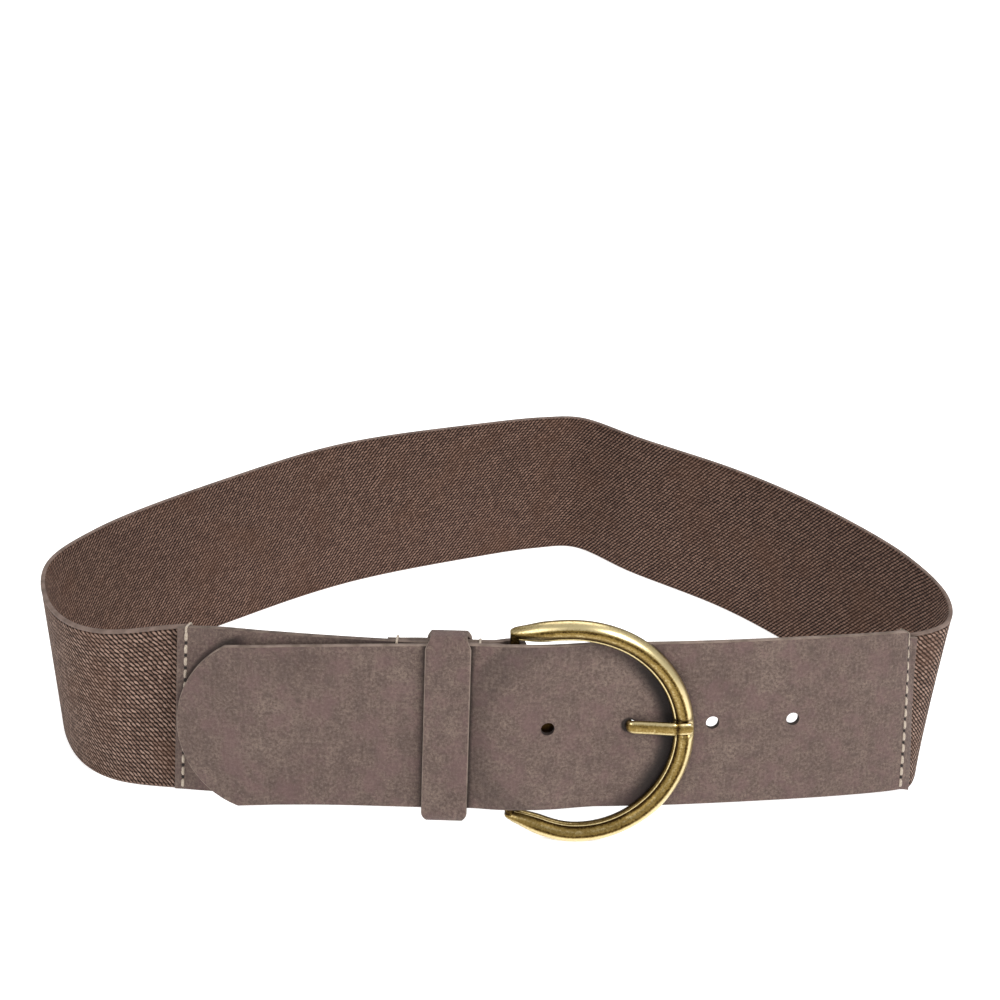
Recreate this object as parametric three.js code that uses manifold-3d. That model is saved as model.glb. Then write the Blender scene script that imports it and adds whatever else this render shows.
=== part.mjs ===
// A wide elastic stretch belt with leather ends, fastened with a horseshoe buckle and standing on its edge.
// Millimetres, +Z up. The front with the buckle faces -Y.

import * as THREE from 'three';
import { mergeVertices } from 'three/addons/utils/BufferGeometryUtils.js';
import Module from 'manifold-3d';

// Closed loop, seen from above, and the band that follows it
const LOOP_WIDTH = 376;
const LOOP_DEPTH = 236;
const BAND_WIDTH = 75;
const FRONT_LEAN = 8;
const ELASTIC_THICK = 2;
const ELASTIC_TUCK = 12;
const LEATHER_INSET = 1.2;
const LEATHER_WIDTH = BAND_WIDTH - LEATHER_INSET;
const LEATHER_THICK = 2.5;
const CLEARANCE = 0.3;
const SEAM_GAP = 0.4;

// Distances along the band from the buckle bar, to the wearer's left and right
const STRAP_LENGTH = 141;
const STRAP_SAG = 2;
const BILLET_LENGTH = 176.5;
const TONGUE_LENGTH = 138.5;
const TONGUE_NARROWING = 2.3;
const TONGUE_ROUND = 23;
const TONGUE_SAG = 5.7;
const TONGUE_SKEW = 4.8;
const TONGUE_STAND_OFF = 2;
const FOLD_LENGTH = 52;

// Punched holes
const HOLE_DIAMETER = 5;
const HOLE_PITCH = 34.4;
const HOLES_EACH_SIDE = 2;
const PRONG_HOLE_AT = 51;
const PRONG_HOLE_LENGTH = 7;
const FOLD_SLOT_REACH = 9;

// Keeper
const KEEPER_WIDTH = 18.6;
const KEEPER_AT = -26.8;
const KEEPER_SLACK_ABOVE = 0.7;
const KEEPER_SLACK_BELOW = 3.2;
const KEEPER_THICK = 2.5;
const KEEPER_ROUND = 5;

// Buckle frame, its bar and the prong
const FRAME_OVERREACH = 25;
const FRAME_HEIGHT = LEATHER_WIDTH + FRAME_OVERREACH;
const FRAME_SECTION = 8;
const FRAME_THICK = 5;
const FRAME_REACH = 74.5;
const FRAME_SAG = 2.8;
const FOOT_SECTION = 5;
const FOOT_REACH = 2;
const FOOT_TAPER = 13;
const FRAME_RISE_LENGTH = 44;
const BAR_DIAMETER = 4;
const PRONG_WIDTH = 4.8;
const PRONG_BASE_WIDTH = 8;
const PRONG_THICK = 2.4;
const PRONG_TIP_THICK = 1.8;
const PRONG_BEND = 1.6;
const PRONG_SHORT_OF_FRAME = 1;

// How finely the curved pieces are divided
const BAND_STEP = 4.7;
const WIDTH_DIVISIONS = 4;
const ROUND_STEPS = 8;
const FRAME_STEPS = 40;

// Stations of the lower edge, from the bar round by the wearer's right and back to the bar.
// across: share of LOOP_WIDTH from the middle. depth: share of LOOP_DEPTH from the front.
// lean: share of FRONT_LEAN, positive where the top leans out of the loop. lift: share of the buckle's lift.
const STATIONS = [
  { across: 0.012, depth: -0.005, lean: -1.0, lift: 1.00 },
  { across: 0.194, depth: 0.001, lean: -1.0, lift: 0.91 },
  { across: 0.453, depth: 0.062, lean: -1.0, lift: 0.62 },
  { across: 0.471, depth: 0.084, lean: -1.4, lift: 0.26 },
  { across: 0.492, depth: 0.167, lean: 0.7, lift: 0.09 },
  { across: 0.494, depth: 0.276, lean: 1.0, lift: 0.00 },
  { across: 0.487, depth: 0.395, lean: 0.4, lift: 0.00 },
  { across: 0.407, depth: 0.583, lean: 0.6, lift: 0.00 },
  { across: 0.323, depth: 0.748, lean: 0.3, lift: 0.00 },
  { across: 0.211, depth: 0.902, lean: 0.1, lift: 0.00 },
  { across: 0.139, depth: 1.012, lean: -0.2, lift: 0.00 },
  { across: 0.086, depth: 1.007, lean: -0.1, lift: 0.00 },
  { across: -0.006, depth: 0.964, lean: 0.1, lift: 0.00 },
  { across: -0.165, depth: 0.865, lean: 0.5, lift: 0.00 },
  { across: -0.295, depth: 0.734, lean: 0.4, lift: 0.00 },
  { across: -0.460, depth: 0.519, lean: 0.2, lift: 0.00 },
  { across: -0.501, depth: 0.392, lean: 0.4, lift: 0.00 },
  { across: -0.480, depth: 0.240, lean: 0.5, lift: 0.02 },
  { across: -0.433, depth: 0.148, lean: 0.1, lift: 0.18 },
  { across: -0.338, depth: 0.085, lean: -1.2, lift: 0.52 },
  { across: -0.244, depth: 0.045, lean: -1.0, lift: 0.82 },
];

// Layers at the front, as distances outward from the middle of the elastic
const ELASTIC_FACE = ELASTIC_THICK / 2;
const STRAP_BACK = ELASTIC_FACE + SEAM_GAP;
const STRAP_FACE = STRAP_BACK + LEATHER_THICK;
const LINING_FACE = STRAP_BACK - CLEARANCE;
const LINING_BACK = LINING_FACE - LEATHER_THICK;
const BAR_HEIGHT = (STRAP_BACK + LINING_FACE) / 2;
const FOLD_RADIUS = BAR_DIAMETER / 2 + CLEARANCE + LEATHER_THICK / 2;
const FOLD_FACE = BAR_HEIGHT + FOLD_RADIUS + LEATHER_THICK / 2;
const BILLET_BACK_AT_TONGUE = STRAP_FACE + CLEARANCE;
const BILLET_BACK_AT_BAR = FOLD_FACE + CLEARANCE;
const BILLET_BACK_AT_FRAME = STRAP_BACK;
const FRAME_BACK_AT_BAR = BAR_HEIGHT - BAR_DIAMETER / 2 + CLEARANCE;
const FRAME_BACK = BILLET_BACK_AT_FRAME + LEATHER_THICK + 2 * CLEARANCE;

// Buckle, across the band
const MID_WIDTH = BAND_WIDTH / 2;
const TONGUE_WIDTH = LEATHER_WIDTH - TONGUE_NARROWING;
const FRAME_MIDDLE = MID_WIDTH - FRAME_SAG;
const FRAME_RADIUS = (FRAME_HEIGHT - FRAME_SECTION) / 2;
const FRAME_CENTRE = FRAME_REACH - FRAME_HEIGHT / 2;
const PRONG_LENGTH = FRAME_REACH - PRONG_SHORT_OF_FRAME;
const FOOT_TOP = LEATHER_WIDTH + CLEARANCE + FOOT_SECTION / 2;
const FOOT_BOTTOM = MID_WIDTH - LEATHER_WIDTH / 2 - STRAP_SAG - 2 * CLEARANCE - FOOT_SECTION / 2;

// Height of the band's lower edge at the bar, so that the frame's lower arm rests on the floor
const LEAN_ANGLE = THREE.MathUtils.degToRad(FRONT_LEAN);
const FRAME_OVERHANG = FRAME_HEIGHT / 2 - FRAME_MIDDLE;
const BUCKLE_LIFT = FRAME_OVERHANG * Math.cos(LEAN_ANGLE) - FRAME_BACK * Math.sin(LEAN_ANGLE);

const wasm = await Module();
wasm.setup();

const route = new THREE.CatmullRomCurve3(
  STATIONS.map(({ across, depth }) => new THREE.Vector3(across * LOOP_WIDTH, (depth - 0.5) * LOOP_DEPTH, 0)),
  true,
  'centripetal',
);
route.arcLengthDivisions = 2000;
const loopLength = route.getLength();

const attitude = new THREE.CatmullRomCurve3(
  STATIONS.map(({ lean, lift }) => new THREE.Vector3(lean, lift, 0)),
  true,
  'catmullrom',
);

// Turns strap coordinates into a place: along the band from the bar, up the band's width, and outward.
function place(along, up, outward) {
  const share = THREE.MathUtils.euclideanModulo(along / loopLength, 1);
  const station = route.getUtoTmapping(share);
  const tangent = route.getTangent(station);
  const normal = new THREE.Vector3(tangent.y, -tangent.x, 0).normalize();
  const stance = attitude.getPoint(station);
  const lean = stance.x * LEAN_ANGLE;
  const vertical = new THREE.Vector3(0, 0, 1);
  const rise = normal.clone().multiplyScalar(Math.sin(lean)).addScaledVector(vertical, Math.cos(lean));
  const face = normal.clone().multiplyScalar(Math.cos(lean)).addScaledVector(vertical, -Math.sin(lean));
  const foot = route.getPoint(station).addScaledVector(vertical, stance.y * BUCKLE_LIFT);
  return foot.addScaledVector(rise, up).addScaledVector(face, outward);
}

// Moves every vertex by a rule from its own coordinates to strap coordinates, then to its place.
function wrap(geometry, rule) {
  const position = geometry.getAttribute('position');
  for (let i = 0; i < position.count; i += 1) {
    const { along, up, outward } = rule(position.getX(i), position.getY(i), position.getZ(i));
    const point = place(along, up, outward);
    position.setXYZ(i, point.x, point.y, point.z);
  }
  geometry.deleteAttribute('normal');
  geometry.deleteAttribute('uv');
  return mergeVertices(geometry, 0.001);
}

// Sweeps a section along stations, each with its own rule for the section's point (x, y).
function sweep(section, stations) {
  const steps = stations.length - 1;
  const geometry = new THREE.ExtrudeGeometry(section, { depth: steps, steps, bevelEnabled: false });
  return wrap(geometry, (x, y, z) => stations[Math.round(z)](x, y));
}

function toManifold(geometry) {
  return new wasm.Manifold(new wasm.Mesh({
    numProp: 3,
    vertProperties: new Float32Array(geometry.getAttribute('position').array),
    triVerts: new Uint32Array(geometry.getIndex().array),
  }));
}

function toGeometry(manifold) {
  const { vertProperties, triVerts } = manifold.getMesh();
  const geometry = new THREE.BufferGeometry();
  geometry.setAttribute('position', new THREE.BufferAttribute(new Float32Array(vertProperties), 3));
  geometry.setIndex(new THREE.BufferAttribute(new Uint32Array(triVerts), 1));
  geometry.computeVertexNormals();
  return geometry;
}

function subtractAll(geometry, cutters) {
  const solid = cutters.reduce((rest, cutter) => rest.subtract(toManifold(cutter)), toManifold(geometry));
  return toGeometry(solid);
}

// Equal shares from 0 to 1.
function shares(count) {
  return Array.from({ length: count + 1 }, (_, index) => index / count);
}

// Distances from start to end. The steps between them are at the same places on every strip and divide
// the loop evenly, so that strips that lie on each other bend alike.
function gridBetween(start, end) {
  const step = loopLength / Math.round(loopLength / BAND_STEP);
  const low = Math.min(start, end);
  const high = Math.max(start, end);
  const first = Math.ceil(low / step + 0.1);
  const last = Math.floor(high / step - 0.1);
  const inner = Array.from({ length: last - first + 1 }, (_, index) => (first + index) * step);
  const grid = [low, ...inner, high];
  return start < end ? grid : grid.reverse();
}

// Strip section: x across the width, y through the thickness, both from the middle, with eased edges.
// Each broad side is divided, so that a twisted strip stays smooth.
function stripSection(width, thick, chamfer, divisions) {
  const halfWidth = width / 2;
  const halfThick = thick / 2;
  const broadSide = (sign) => shares(divisions).map((share) => (
    new THREE.Vector2(sign * (halfWidth - chamfer) * (2 * share - 1), -sign * halfThick)
  ));
  const edge = (sign) => [
    new THREE.Vector2(sign * halfWidth, sign * (chamfer - halfThick)),
    new THREE.Vector2(sign * halfWidth, sign * (halfThick - chamfer)),
  ];
  return new THREE.Shape([...broadSide(1), ...edge(1), ...broadSide(-1), ...edge(-1)]);
}

// Stations along a path drawn in the plane of length and thickness; each turns the section with the path.
function pathStations(path, middleAt) {
  const sharesOf = (curve) => {
    if (!curve.isLineCurve) return shares(ROUND_STEPS);
    const { v1, v2 } = curve;
    return gridBetween(v1.x, v2.x).map((along) => (along - v1.x) / (v2.x - v1.x));
  };
  return path.curves.flatMap((curve, curveIndex) => {
    const list = sharesOf(curve);
    const kept = curveIndex === 0 ? list : list.slice(1);
    return kept.map((share) => {
      const point = curve.getPointAt(share);
      const tangent = curve.getTangentAt(share);
      return (x, y) => ({
        along: point.x - tangent.y * y,
        up: middleAt(point.x) + x,
        outward: point.y + tangent.x * y,
      });
    });
  });
}

function elasticBand() {
  const start = BILLET_LENGTH - ELASTIC_TUCK;
  const end = loopLength - (STRAP_LENGTH - ELASTIC_TUCK);
  const stations = gridBetween(start, end).map((along) => (x, y) => ({
    along,
    up: MID_WIDTH + x,
    outward: y,
  }));
  return sweep(stripSection(BAND_WIDTH, ELASTIC_THICK, ELASTIC_THICK / 4, WIDTH_DIVISIONS), stations);
}

// Middle of the left strap's width: its top edge is level with the elastic's at the seam and lower at the bar.
function strapMiddle(along) {
  const sag = STRAP_SAG * THREE.MathUtils.smoothstep(along, -STRAP_LENGTH, -FOLD_RADIUS);
  return BAND_WIDTH - LEATHER_WIDTH / 2 - sag;
}

// Left strap: from its end to the bar, round the bar and back behind itself as a sewn-down lining.
function buckleStrap() {
  const outer = STRAP_BACK + LEATHER_THICK / 2;
  const inner = LINING_FACE - LEATHER_THICK / 2;
  const bendLength = 3 * FOLD_RADIUS;
  const path = new THREE.Path();
  path.moveTo(-STRAP_LENGTH, outer);
  path.lineTo(-bendLength, outer);
  path.bezierCurveTo(
    -bendLength / 2, outer,
    -bendLength / 2, BAR_HEIGHT + FOLD_RADIUS,
    0, BAR_HEIGHT + FOLD_RADIUS,
  );
  path.absarc(0, BAR_HEIGHT, FOLD_RADIUS, Math.PI / 2, -Math.PI / 2, true);
  path.bezierCurveTo(
    -bendLength / 2, BAR_HEIGHT - FOLD_RADIUS,
    -bendLength / 2, inner,
    -bendLength, inner,
  );
  path.lineTo(-FOLD_LENGTH, inner);
  const section = stripSection(LEATHER_WIDTH, LEATHER_THICK, LEATHER_THICK / 5, WIDTH_DIVISIONS);
  const strap = sweep(section, pathStations(path, strapMiddle));
  const slot = new THREE.BoxGeometry(
    2 * FOLD_SLOT_REACH,
    PRONG_BASE_WIDTH + 4 * CLEARANCE,
    4 * (FOLD_RADIUS + LEATHER_THICK),
  );
  return subtractAll(strap, [wrap(slot, (x, y, z) => ({
    along: x,
    up: MID_WIDTH + y,
    outward: BAR_HEIGHT + z,
  }))]);
}

// Back face of the right strap: over the fold at the bar, under the frame, and on the left strap past the bar.
function billetBack(along) {
  const overStrap = THREE.MathUtils.lerp(BILLET_BACK_AT_TONGUE, BILLET_BACK_AT_BAR,
    THREE.MathUtils.smoothstep(along, -5 * FOLD_RADIUS, -0.5 * FOLD_RADIUS));
  const underFrame = BILLET_BACK_AT_FRAME - BILLET_BACK_AT_BAR;
  const descent = THREE.MathUtils.smoothstep(along, FOLD_RADIUS, 0.85 * FRAME_RISE_LENGTH);
  const standOff = TONGUE_STAND_OFF * THREE.MathUtils.smoothstep(-along, TONGUE_LENGTH / 2, TONGUE_LENGTH);
  return overStrap + descent * underFrame + standOff;
}

function billetMiddle(along) {
  return LEATHER_WIDTH / 2 - TONGUE_SAG * (Math.max(0, -along) / TONGUE_LENGTH) ** 2;
}

function billetHalfWidth(along) {
  const full = THREE.MathUtils.smoothstep(along, TONGUE_ROUND - TONGUE_LENGTH, 0);
  return THREE.MathUtils.lerp(TONGUE_WIDTH, LEATHER_WIDTH, full) / 2;
}

// The tongue isn't cut square to the strap: how far a point at this height from the middle moves along it.
function billetSkew(along, height) {
  const atTongue = THREE.MathUtils.smoothstep(-along, TONGUE_LENGTH / 3, TONGUE_LENGTH);
  return -TONGUE_SKEW * atTongue * height / (LEATHER_WIDTH / 2);
}

// Stations from the tongue's tip, whose arc meets the strap's edges at the end of the rounding.
function billetStrap() {
  const halfTongue = TONGUE_WIDTH / 2;
  const radius = (TONGUE_ROUND ** 2 + halfTongue ** 2) / (2 * TONGUE_ROUND);
  const arcCentre = radius - TONGUE_LENGTH;
  const arcEnd = Math.atan2(halfTongue, radius - TONGUE_ROUND);
  const tipAngle = arcEnd / ROUND_STEPS;
  const arcStations = shares(ROUND_STEPS).map((share) => {
    const angle = THREE.MathUtils.lerp(tipAngle, arcEnd, share);
    return {
      along: arcCentre - radius * Math.cos(angle),
      half: radius * Math.sin(angle),
    };
  });
  const straightStations = gridBetween(arcStations.at(-1).along, BILLET_LENGTH).slice(1).map((along) => ({
    along,
    half: billetHalfWidth(along),
  }));
  const stations = [...arcStations, ...straightStations].map(({ along, half }) => (x, y) => {
    const height = x * half / (LEATHER_WIDTH / 2);
    return {
      along: along + billetSkew(along, height),
      up: billetMiddle(along) + height,
      outward: billetBack(along) + LEATHER_THICK / 2 + y,
    };
  });
  const section = stripSection(LEATHER_WIDTH, LEATHER_THICK, LEATHER_THICK / 5, WIDTH_DIVISIONS);
  const strap = sweep(section, stations);

  const cutLength = 3 * LEATHER_THICK;
  const cutters = [];
  for (let index = -HOLES_EACH_SIDE; index <= HOLES_EACH_SIDE; index += 1) {
    const middle = PRONG_HOLE_AT + index * HOLE_PITCH;
    const shape = new THREE.Shape();
    if (index === 0) {
      const half = (PRONG_WIDTH + 4 * CLEARANCE) / 2;
      const reach = PRONG_HOLE_LENGTH / 2 - half;
      shape.absarc(-reach, 0, half, Math.PI / 2, 1.5 * Math.PI, false);
      shape.absarc(reach, 0, half, -Math.PI / 2, Math.PI / 2, false);
    } else {
      shape.absarc(0, 0, HOLE_DIAMETER / 2, 0, 2 * Math.PI, false);
    }
    const punch = new THREE.ExtrudeGeometry(shape, { depth: cutLength, bevelEnabled: false, curveSegments: 10 });
    cutters.push(wrap(punch, (x, y, z) => ({
      along: middle + x,
      up: MID_WIDTH + y,
      outward: billetBack(middle) + LEATHER_THICK / 2 + z - cutLength / 2,
    })));
  }
  return subtractAll(strap, cutters);
}

// Keeper: a flat leather ring round the left strap, its lining and the tongue.
function keeperLoop() {
  const low = billetMiddle(KEEPER_AT) - LEATHER_WIDTH / 2 - KEEPER_SLACK_BELOW;
  const high = LEATHER_WIDTH + KEEPER_SLACK_ABOVE;
  const back = LINING_BACK - 2 * CLEARANCE;
  const reach = KEEPER_WIDTH / 2;
  const face = Math.max(billetBack(KEEPER_AT + reach), billetBack(KEEPER_AT - reach)) + LEATHER_THICK
    + 2 * CLEARANCE;
  const outline = (shape, grow, round) => {
    const [left, right, bottom, top] = [low - grow, high + grow, back - grow, face + grow];
    shape.moveTo(left + round, bottom);
    shape.lineTo(right - round, bottom);
    shape.absarc(right - round, bottom + round, round, -Math.PI / 2, 0, false);
    shape.lineTo(right, top - round);
    shape.absarc(right - round, top - round, round, 0, Math.PI / 2, false);
    shape.lineTo(left + round, top);
    shape.absarc(left + round, top - round, round, Math.PI / 2, Math.PI, false);
    shape.lineTo(left, bottom + round);
    shape.absarc(left + round, bottom + round, round, Math.PI, 1.5 * Math.PI, false);
    return shape;
  };
  const ring = outline(new THREE.Shape(), KEEPER_THICK, KEEPER_ROUND);
  ring.holes.push(outline(new THREE.Path(), 0, KEEPER_ROUND / 4));
  const steps = Math.ceil(KEEPER_WIDTH / BAND_STEP);
  const geometry = new THREE.ExtrudeGeometry(ring, {
    depth: KEEPER_WIDTH, steps, bevelEnabled: false, curveSegments: 4,
  });
  return wrap(geometry, (x, y, z) => ({ along: KEEPER_AT - reach + z, up: x, outward: y }));
}

// Back face of the frame: low at the bar, where it holds the left strap, and raised over the right strap.
function frameBack(along) {
  const rise = THREE.MathUtils.clamp(along / FRAME_RISE_LENGTH, 0, 1);
  return THREE.MathUtils.lerp(FRAME_BACK_AT_BAR, FRAME_BACK, 1 - (1 - rise) ** 2);
}

// Frame section: x across the ring from its middle, y outward from the flat back up to the rounded ridge.
function frameSection() {
  const half = FRAME_SECTION / 2;
  const rim = 0.6 * FRAME_THICK;
  return new THREE.Shape([
    new THREE.Vector2(-0.88 * half, 0),
    new THREE.Vector2(0.88 * half, 0),
    new THREE.Vector2(half, 0.1 * FRAME_THICK),
    new THREE.Vector2(half, rim),
    new THREE.Vector2(0.8 * half, 0.72 * FRAME_THICK),
    new THREE.Vector2(0.42 * half, 0.94 * FRAME_THICK),
    new THREE.Vector2(0, FRAME_THICK),
    new THREE.Vector2(-0.42 * half, 0.92 * FRAME_THICK),
    new THREE.Vector2(-0.8 * half, 0.7 * FRAME_THICK),
    new THREE.Vector2(-half, rim),
    new THREE.Vector2(-half, 0.1 * FRAME_THICK),
  ]);
}

// Horseshoe frame, whose arms narrow to two feet joined by the bar.
function buckleFrame() {
  const upperFoot = FOOT_TOP - FRAME_MIDDLE;
  const lowerFoot = FOOT_BOTTOM - FRAME_MIDDLE;
  const path = new THREE.Path();
  path.moveTo(-FOOT_REACH, upperFoot);
  path.bezierCurveTo(
    0.35 * FRAME_CENTRE, THREE.MathUtils.lerp(upperFoot, FRAME_RADIUS, 0.2),
    0.6 * FRAME_CENTRE, FRAME_RADIUS,
    FRAME_CENTRE, FRAME_RADIUS,
  );
  path.absarc(FRAME_CENTRE, 0, FRAME_RADIUS, Math.PI / 2, -Math.PI / 2, true);
  path.bezierCurveTo(
    0.6 * FRAME_CENTRE, -FRAME_RADIUS,
    0.35 * FRAME_CENTRE, THREE.MathUtils.lerp(lowerFoot, -FRAME_RADIUS, 0.2),
    -FOOT_REACH, lowerFoot,
  );
  const stations = shares(FRAME_STEPS).map((share) => {
    const point = path.getPointAt(share);
    const tangent = path.getTangentAt(share);
    const taper = THREE.MathUtils.smoothstep(point.x, -FOOT_REACH, FOOT_TAPER);
    const size = THREE.MathUtils.lerp(FOOT_SECTION / FRAME_SECTION, 1, taper);
    const depth = THREE.MathUtils.lerp(0.8, 1, taper);
    return (x, y) => ({
      along: point.x - tangent.y * x * size,
      up: FRAME_MIDDLE + point.y + tangent.x * x * size,
      outward: frameBack(point.x) + y * depth,
    });
  });
  const ring = sweep(frameSection(), stations);
  const bar = new THREE.CylinderGeometry(BAR_DIAMETER / 2, BAR_DIAMETER / 2, FOOT_TOP - FOOT_BOTTOM, 20, 1);
  const barWrapped = wrap(bar, (x, y, z) => ({
    along: x,
    up: (FOOT_TOP + FOOT_BOTTOM) / 2 + y,
    outward: BAR_HEIGHT + z,
  }));
  return toGeometry(toManifold(ring).add(toManifold(barWrapped)));
}

// Prong: hooked round the bar, wide behind the right strap, then bent up through its hole and onto the frame.
function buckleProng() {
  const ringRadius = BAR_DIAMETER / 2 + CLEARANCE + PRONG_THICK / 2;
  const riseAt = PRONG_HOLE_AT - (PRONG_HOLE_LENGTH - PRONG_THICK) / 2 + 5 * CLEARANCE;
  const behind = (along) => billetBack(along) - 2 * CLEARANCE - PRONG_THICK / 2;
  const low = behind(riseAt);
  const front = BILLET_BACK_AT_FRAME + LEATHER_THICK + 2 * CLEARANCE + PRONG_THICK / 2;
  const onFrame = FRAME_BACK + FRAME_THICK + CLEARANCE + PRONG_THICK / 2;
  const ridge = FRAME_REACH - FRAME_SECTION / 2;
  const inner = FRAME_REACH - FRAME_SECTION;
  const path = new THREE.Path();
  path.absarc(0, BAR_HEIGHT, ringRadius, -Math.PI / 6, -1.5 * Math.PI, true);
  path.splineThru([
    new THREE.Vector2(0.25 * riseAt, behind(0.25 * riseAt)),
    new THREE.Vector2(0.5 * riseAt, behind(0.5 * riseAt)),
    new THREE.Vector2(0.75 * riseAt, behind(0.75 * riseAt)),
    new THREE.Vector2(riseAt - PRONG_BEND, low),
  ]);
  path.absarc(riseAt - PRONG_BEND, low + PRONG_BEND, PRONG_BEND, -Math.PI / 2, 0, false);
  path.lineTo(riseAt, front - PRONG_BEND);
  path.absarc(riseAt + PRONG_BEND, front - PRONG_BEND, PRONG_BEND, Math.PI, Math.PI / 2, true);
  path.splineThru([
    new THREE.Vector2(THREE.MathUtils.lerp(riseAt, inner, 0.5), THREE.MathUtils.lerp(front, onFrame, 0.45)),
    new THREE.Vector2(THREE.MathUtils.lerp(riseAt, inner, 0.9), onFrame),
    new THREE.Vector2(ridge, onFrame + CLEARANCE),
    new THREE.Vector2(PRONG_LENGTH, onFrame),
  ]);
  const points = path.curves.flatMap((curve, curveIndex) => {
    const steps = curve.isLineCurve ? 1 : 2 * Math.ceil(curve.getLength() / (4 * PRONG_BEND)) + 2;
    return shares(steps).slice(curveIndex === 0 ? 0 : 1).map((share) => ({
      point: curve.getPointAt(share),
      tangent: curve.getTangentAt(share),
      isBehind: curveIndex < 2,
    }));
  });
  const stations = points.map(({ point, tangent, isBehind }) => {
    const thin = THREE.MathUtils.smoothstep(point.x, inner - FRAME_SECTION / 2, inner + FRAME_SECTION / 4);
    const thickness = THREE.MathUtils.lerp(1, PRONG_TIP_THICK / PRONG_THICK, thin);
    const narrow = 1 - 0.35 * THREE.MathUtils.smoothstep(point.x, PRONG_LENGTH - PRONG_WIDTH / 2, PRONG_LENGTH);
    const base = isBehind ? 1 - THREE.MathUtils.smoothstep(point.x, 0.7 * riseAt, riseAt - PRONG_BEND) : 0;
    const width = narrow * THREE.MathUtils.lerp(1, PRONG_BASE_WIDTH / PRONG_WIDTH, base);
    return (x, y) => ({
      along: point.x - tangent.y * y * thickness,
      up: MID_WIDTH + x * width,
      outward: point.y + tangent.x * y * thickness,
    });
  });
  return sweep(stripSection(PRONG_WIDTH, PRONG_THICK, PRONG_THICK / 4, 1), stations);
}

const leather = new THREE.MeshStandardMaterial({ color: 0x6a5a56, roughness: 0.85, metalness: 0 });
const weave = new THREE.MeshStandardMaterial({ color: 0x5c4c44, roughness: 0.95, metalness: 0 });
const brass = new THREE.MeshStandardMaterial({ color: 0x9a7a4e, roughness: 0.4, metalness: 1 });

function namedMesh(name, geometry, material) {
  const mesh = new THREE.Mesh(geometry, material);
  mesh.name = name;
  return mesh;
}

const belt = new THREE.Group();
belt.add(
  namedMesh('elastic_band', elasticBand(), weave),
  namedMesh('buckle_strap', buckleStrap(), leather),
  namedMesh('billet_strap', billetStrap(), leather),
  namedMesh('keeper_loop', keeperLoop(), leather),
  namedMesh('buckle_frame', buckleFrame(), brass),
  namedMesh('buckle_prong', buckleProng(), brass),
);

// The origin is the middle of the bottom of the belt's box, on the surface that it stands on.
belt.updateMatrixWorld(true);
const box = new THREE.Box3().setFromObject(belt, true);
const middle = box.getCenter(new THREE.Vector3());
belt.position.set(-middle.x, -middle.y, -box.min.z);
belt.updateMatrixWorld(true);

export default belt;
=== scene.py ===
import math

import bmesh
import bpy
import numpy as np
from mathutils import Matrix, Vector


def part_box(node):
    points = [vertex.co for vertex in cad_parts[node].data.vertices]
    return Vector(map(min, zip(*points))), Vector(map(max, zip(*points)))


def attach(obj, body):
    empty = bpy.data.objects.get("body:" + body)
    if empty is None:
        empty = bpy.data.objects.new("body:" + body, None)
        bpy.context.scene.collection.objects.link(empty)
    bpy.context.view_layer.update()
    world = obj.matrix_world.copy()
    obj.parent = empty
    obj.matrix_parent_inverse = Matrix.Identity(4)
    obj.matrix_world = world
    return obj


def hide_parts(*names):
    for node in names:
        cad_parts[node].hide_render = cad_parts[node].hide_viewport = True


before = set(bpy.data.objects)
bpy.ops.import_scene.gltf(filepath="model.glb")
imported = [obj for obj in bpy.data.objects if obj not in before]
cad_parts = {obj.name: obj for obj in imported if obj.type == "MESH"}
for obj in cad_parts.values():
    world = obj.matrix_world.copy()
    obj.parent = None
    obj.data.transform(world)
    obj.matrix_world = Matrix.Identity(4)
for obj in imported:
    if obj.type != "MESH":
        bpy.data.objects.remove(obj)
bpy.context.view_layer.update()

# The belt's sizes in millimetres, as in the part's own source.
LOOP_WIDTH = 376
LOOP_DEPTH = 236
BAND_WIDTH = 75
FRONT_LEAN = 8
ELASTIC_THICK = 2
ELASTIC_TUCK = 12
LEATHER_INSET = 1.2
LEATHER_WIDTH = BAND_WIDTH - LEATHER_INSET
LEATHER_THICK = 2.5
CLEARANCE = 0.3
SEAM_GAP = 0.4
STRAP_LENGTH = 141
STRAP_SAG = 2
BILLET_LENGTH = 176.5
TONGUE_LENGTH = 138.5
TONGUE_NARROWING = 2.3
TONGUE_ROUND = 23
TONGUE_SAG = 5.7
TONGUE_SKEW = 4.8
TONGUE_STAND_OFF = 2
FOLD_LENGTH = 52
HOLE_PITCH = 34.4
HOLES_EACH_SIDE = 2
PRONG_HOLE_AT = 51
PRONG_HOLE_LENGTH = 7
FOLD_SLOT_REACH = 9
KEEPER_WIDTH = 18.6
KEEPER_AT = -26.8
KEEPER_SLACK_ABOVE = 0.7
KEEPER_SLACK_BELOW = 3.2
KEEPER_THICK = 2.5
KEEPER_ROUND = 5
FRAME_OVERREACH = 25
FRAME_HEIGHT = LEATHER_WIDTH + FRAME_OVERREACH
FRAME_SECTION = 8
FRAME_THICK = 5
FRAME_REACH = 74.5
FRAME_SAG = 2.8
FOOT_SECTION = 5
FOOT_REACH = 2
FOOT_TAPER = 13
FRAME_RISE_LENGTH = 44
BAR_DIAMETER = 4
PRONG_BASE_WIDTH = 8
PRONG_THICK = 2.4
PRONG_TIP_THICK = 1.8
PRONG_BEND = 1.6
PRONG_SHORT_OF_FRAME = 1

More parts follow.
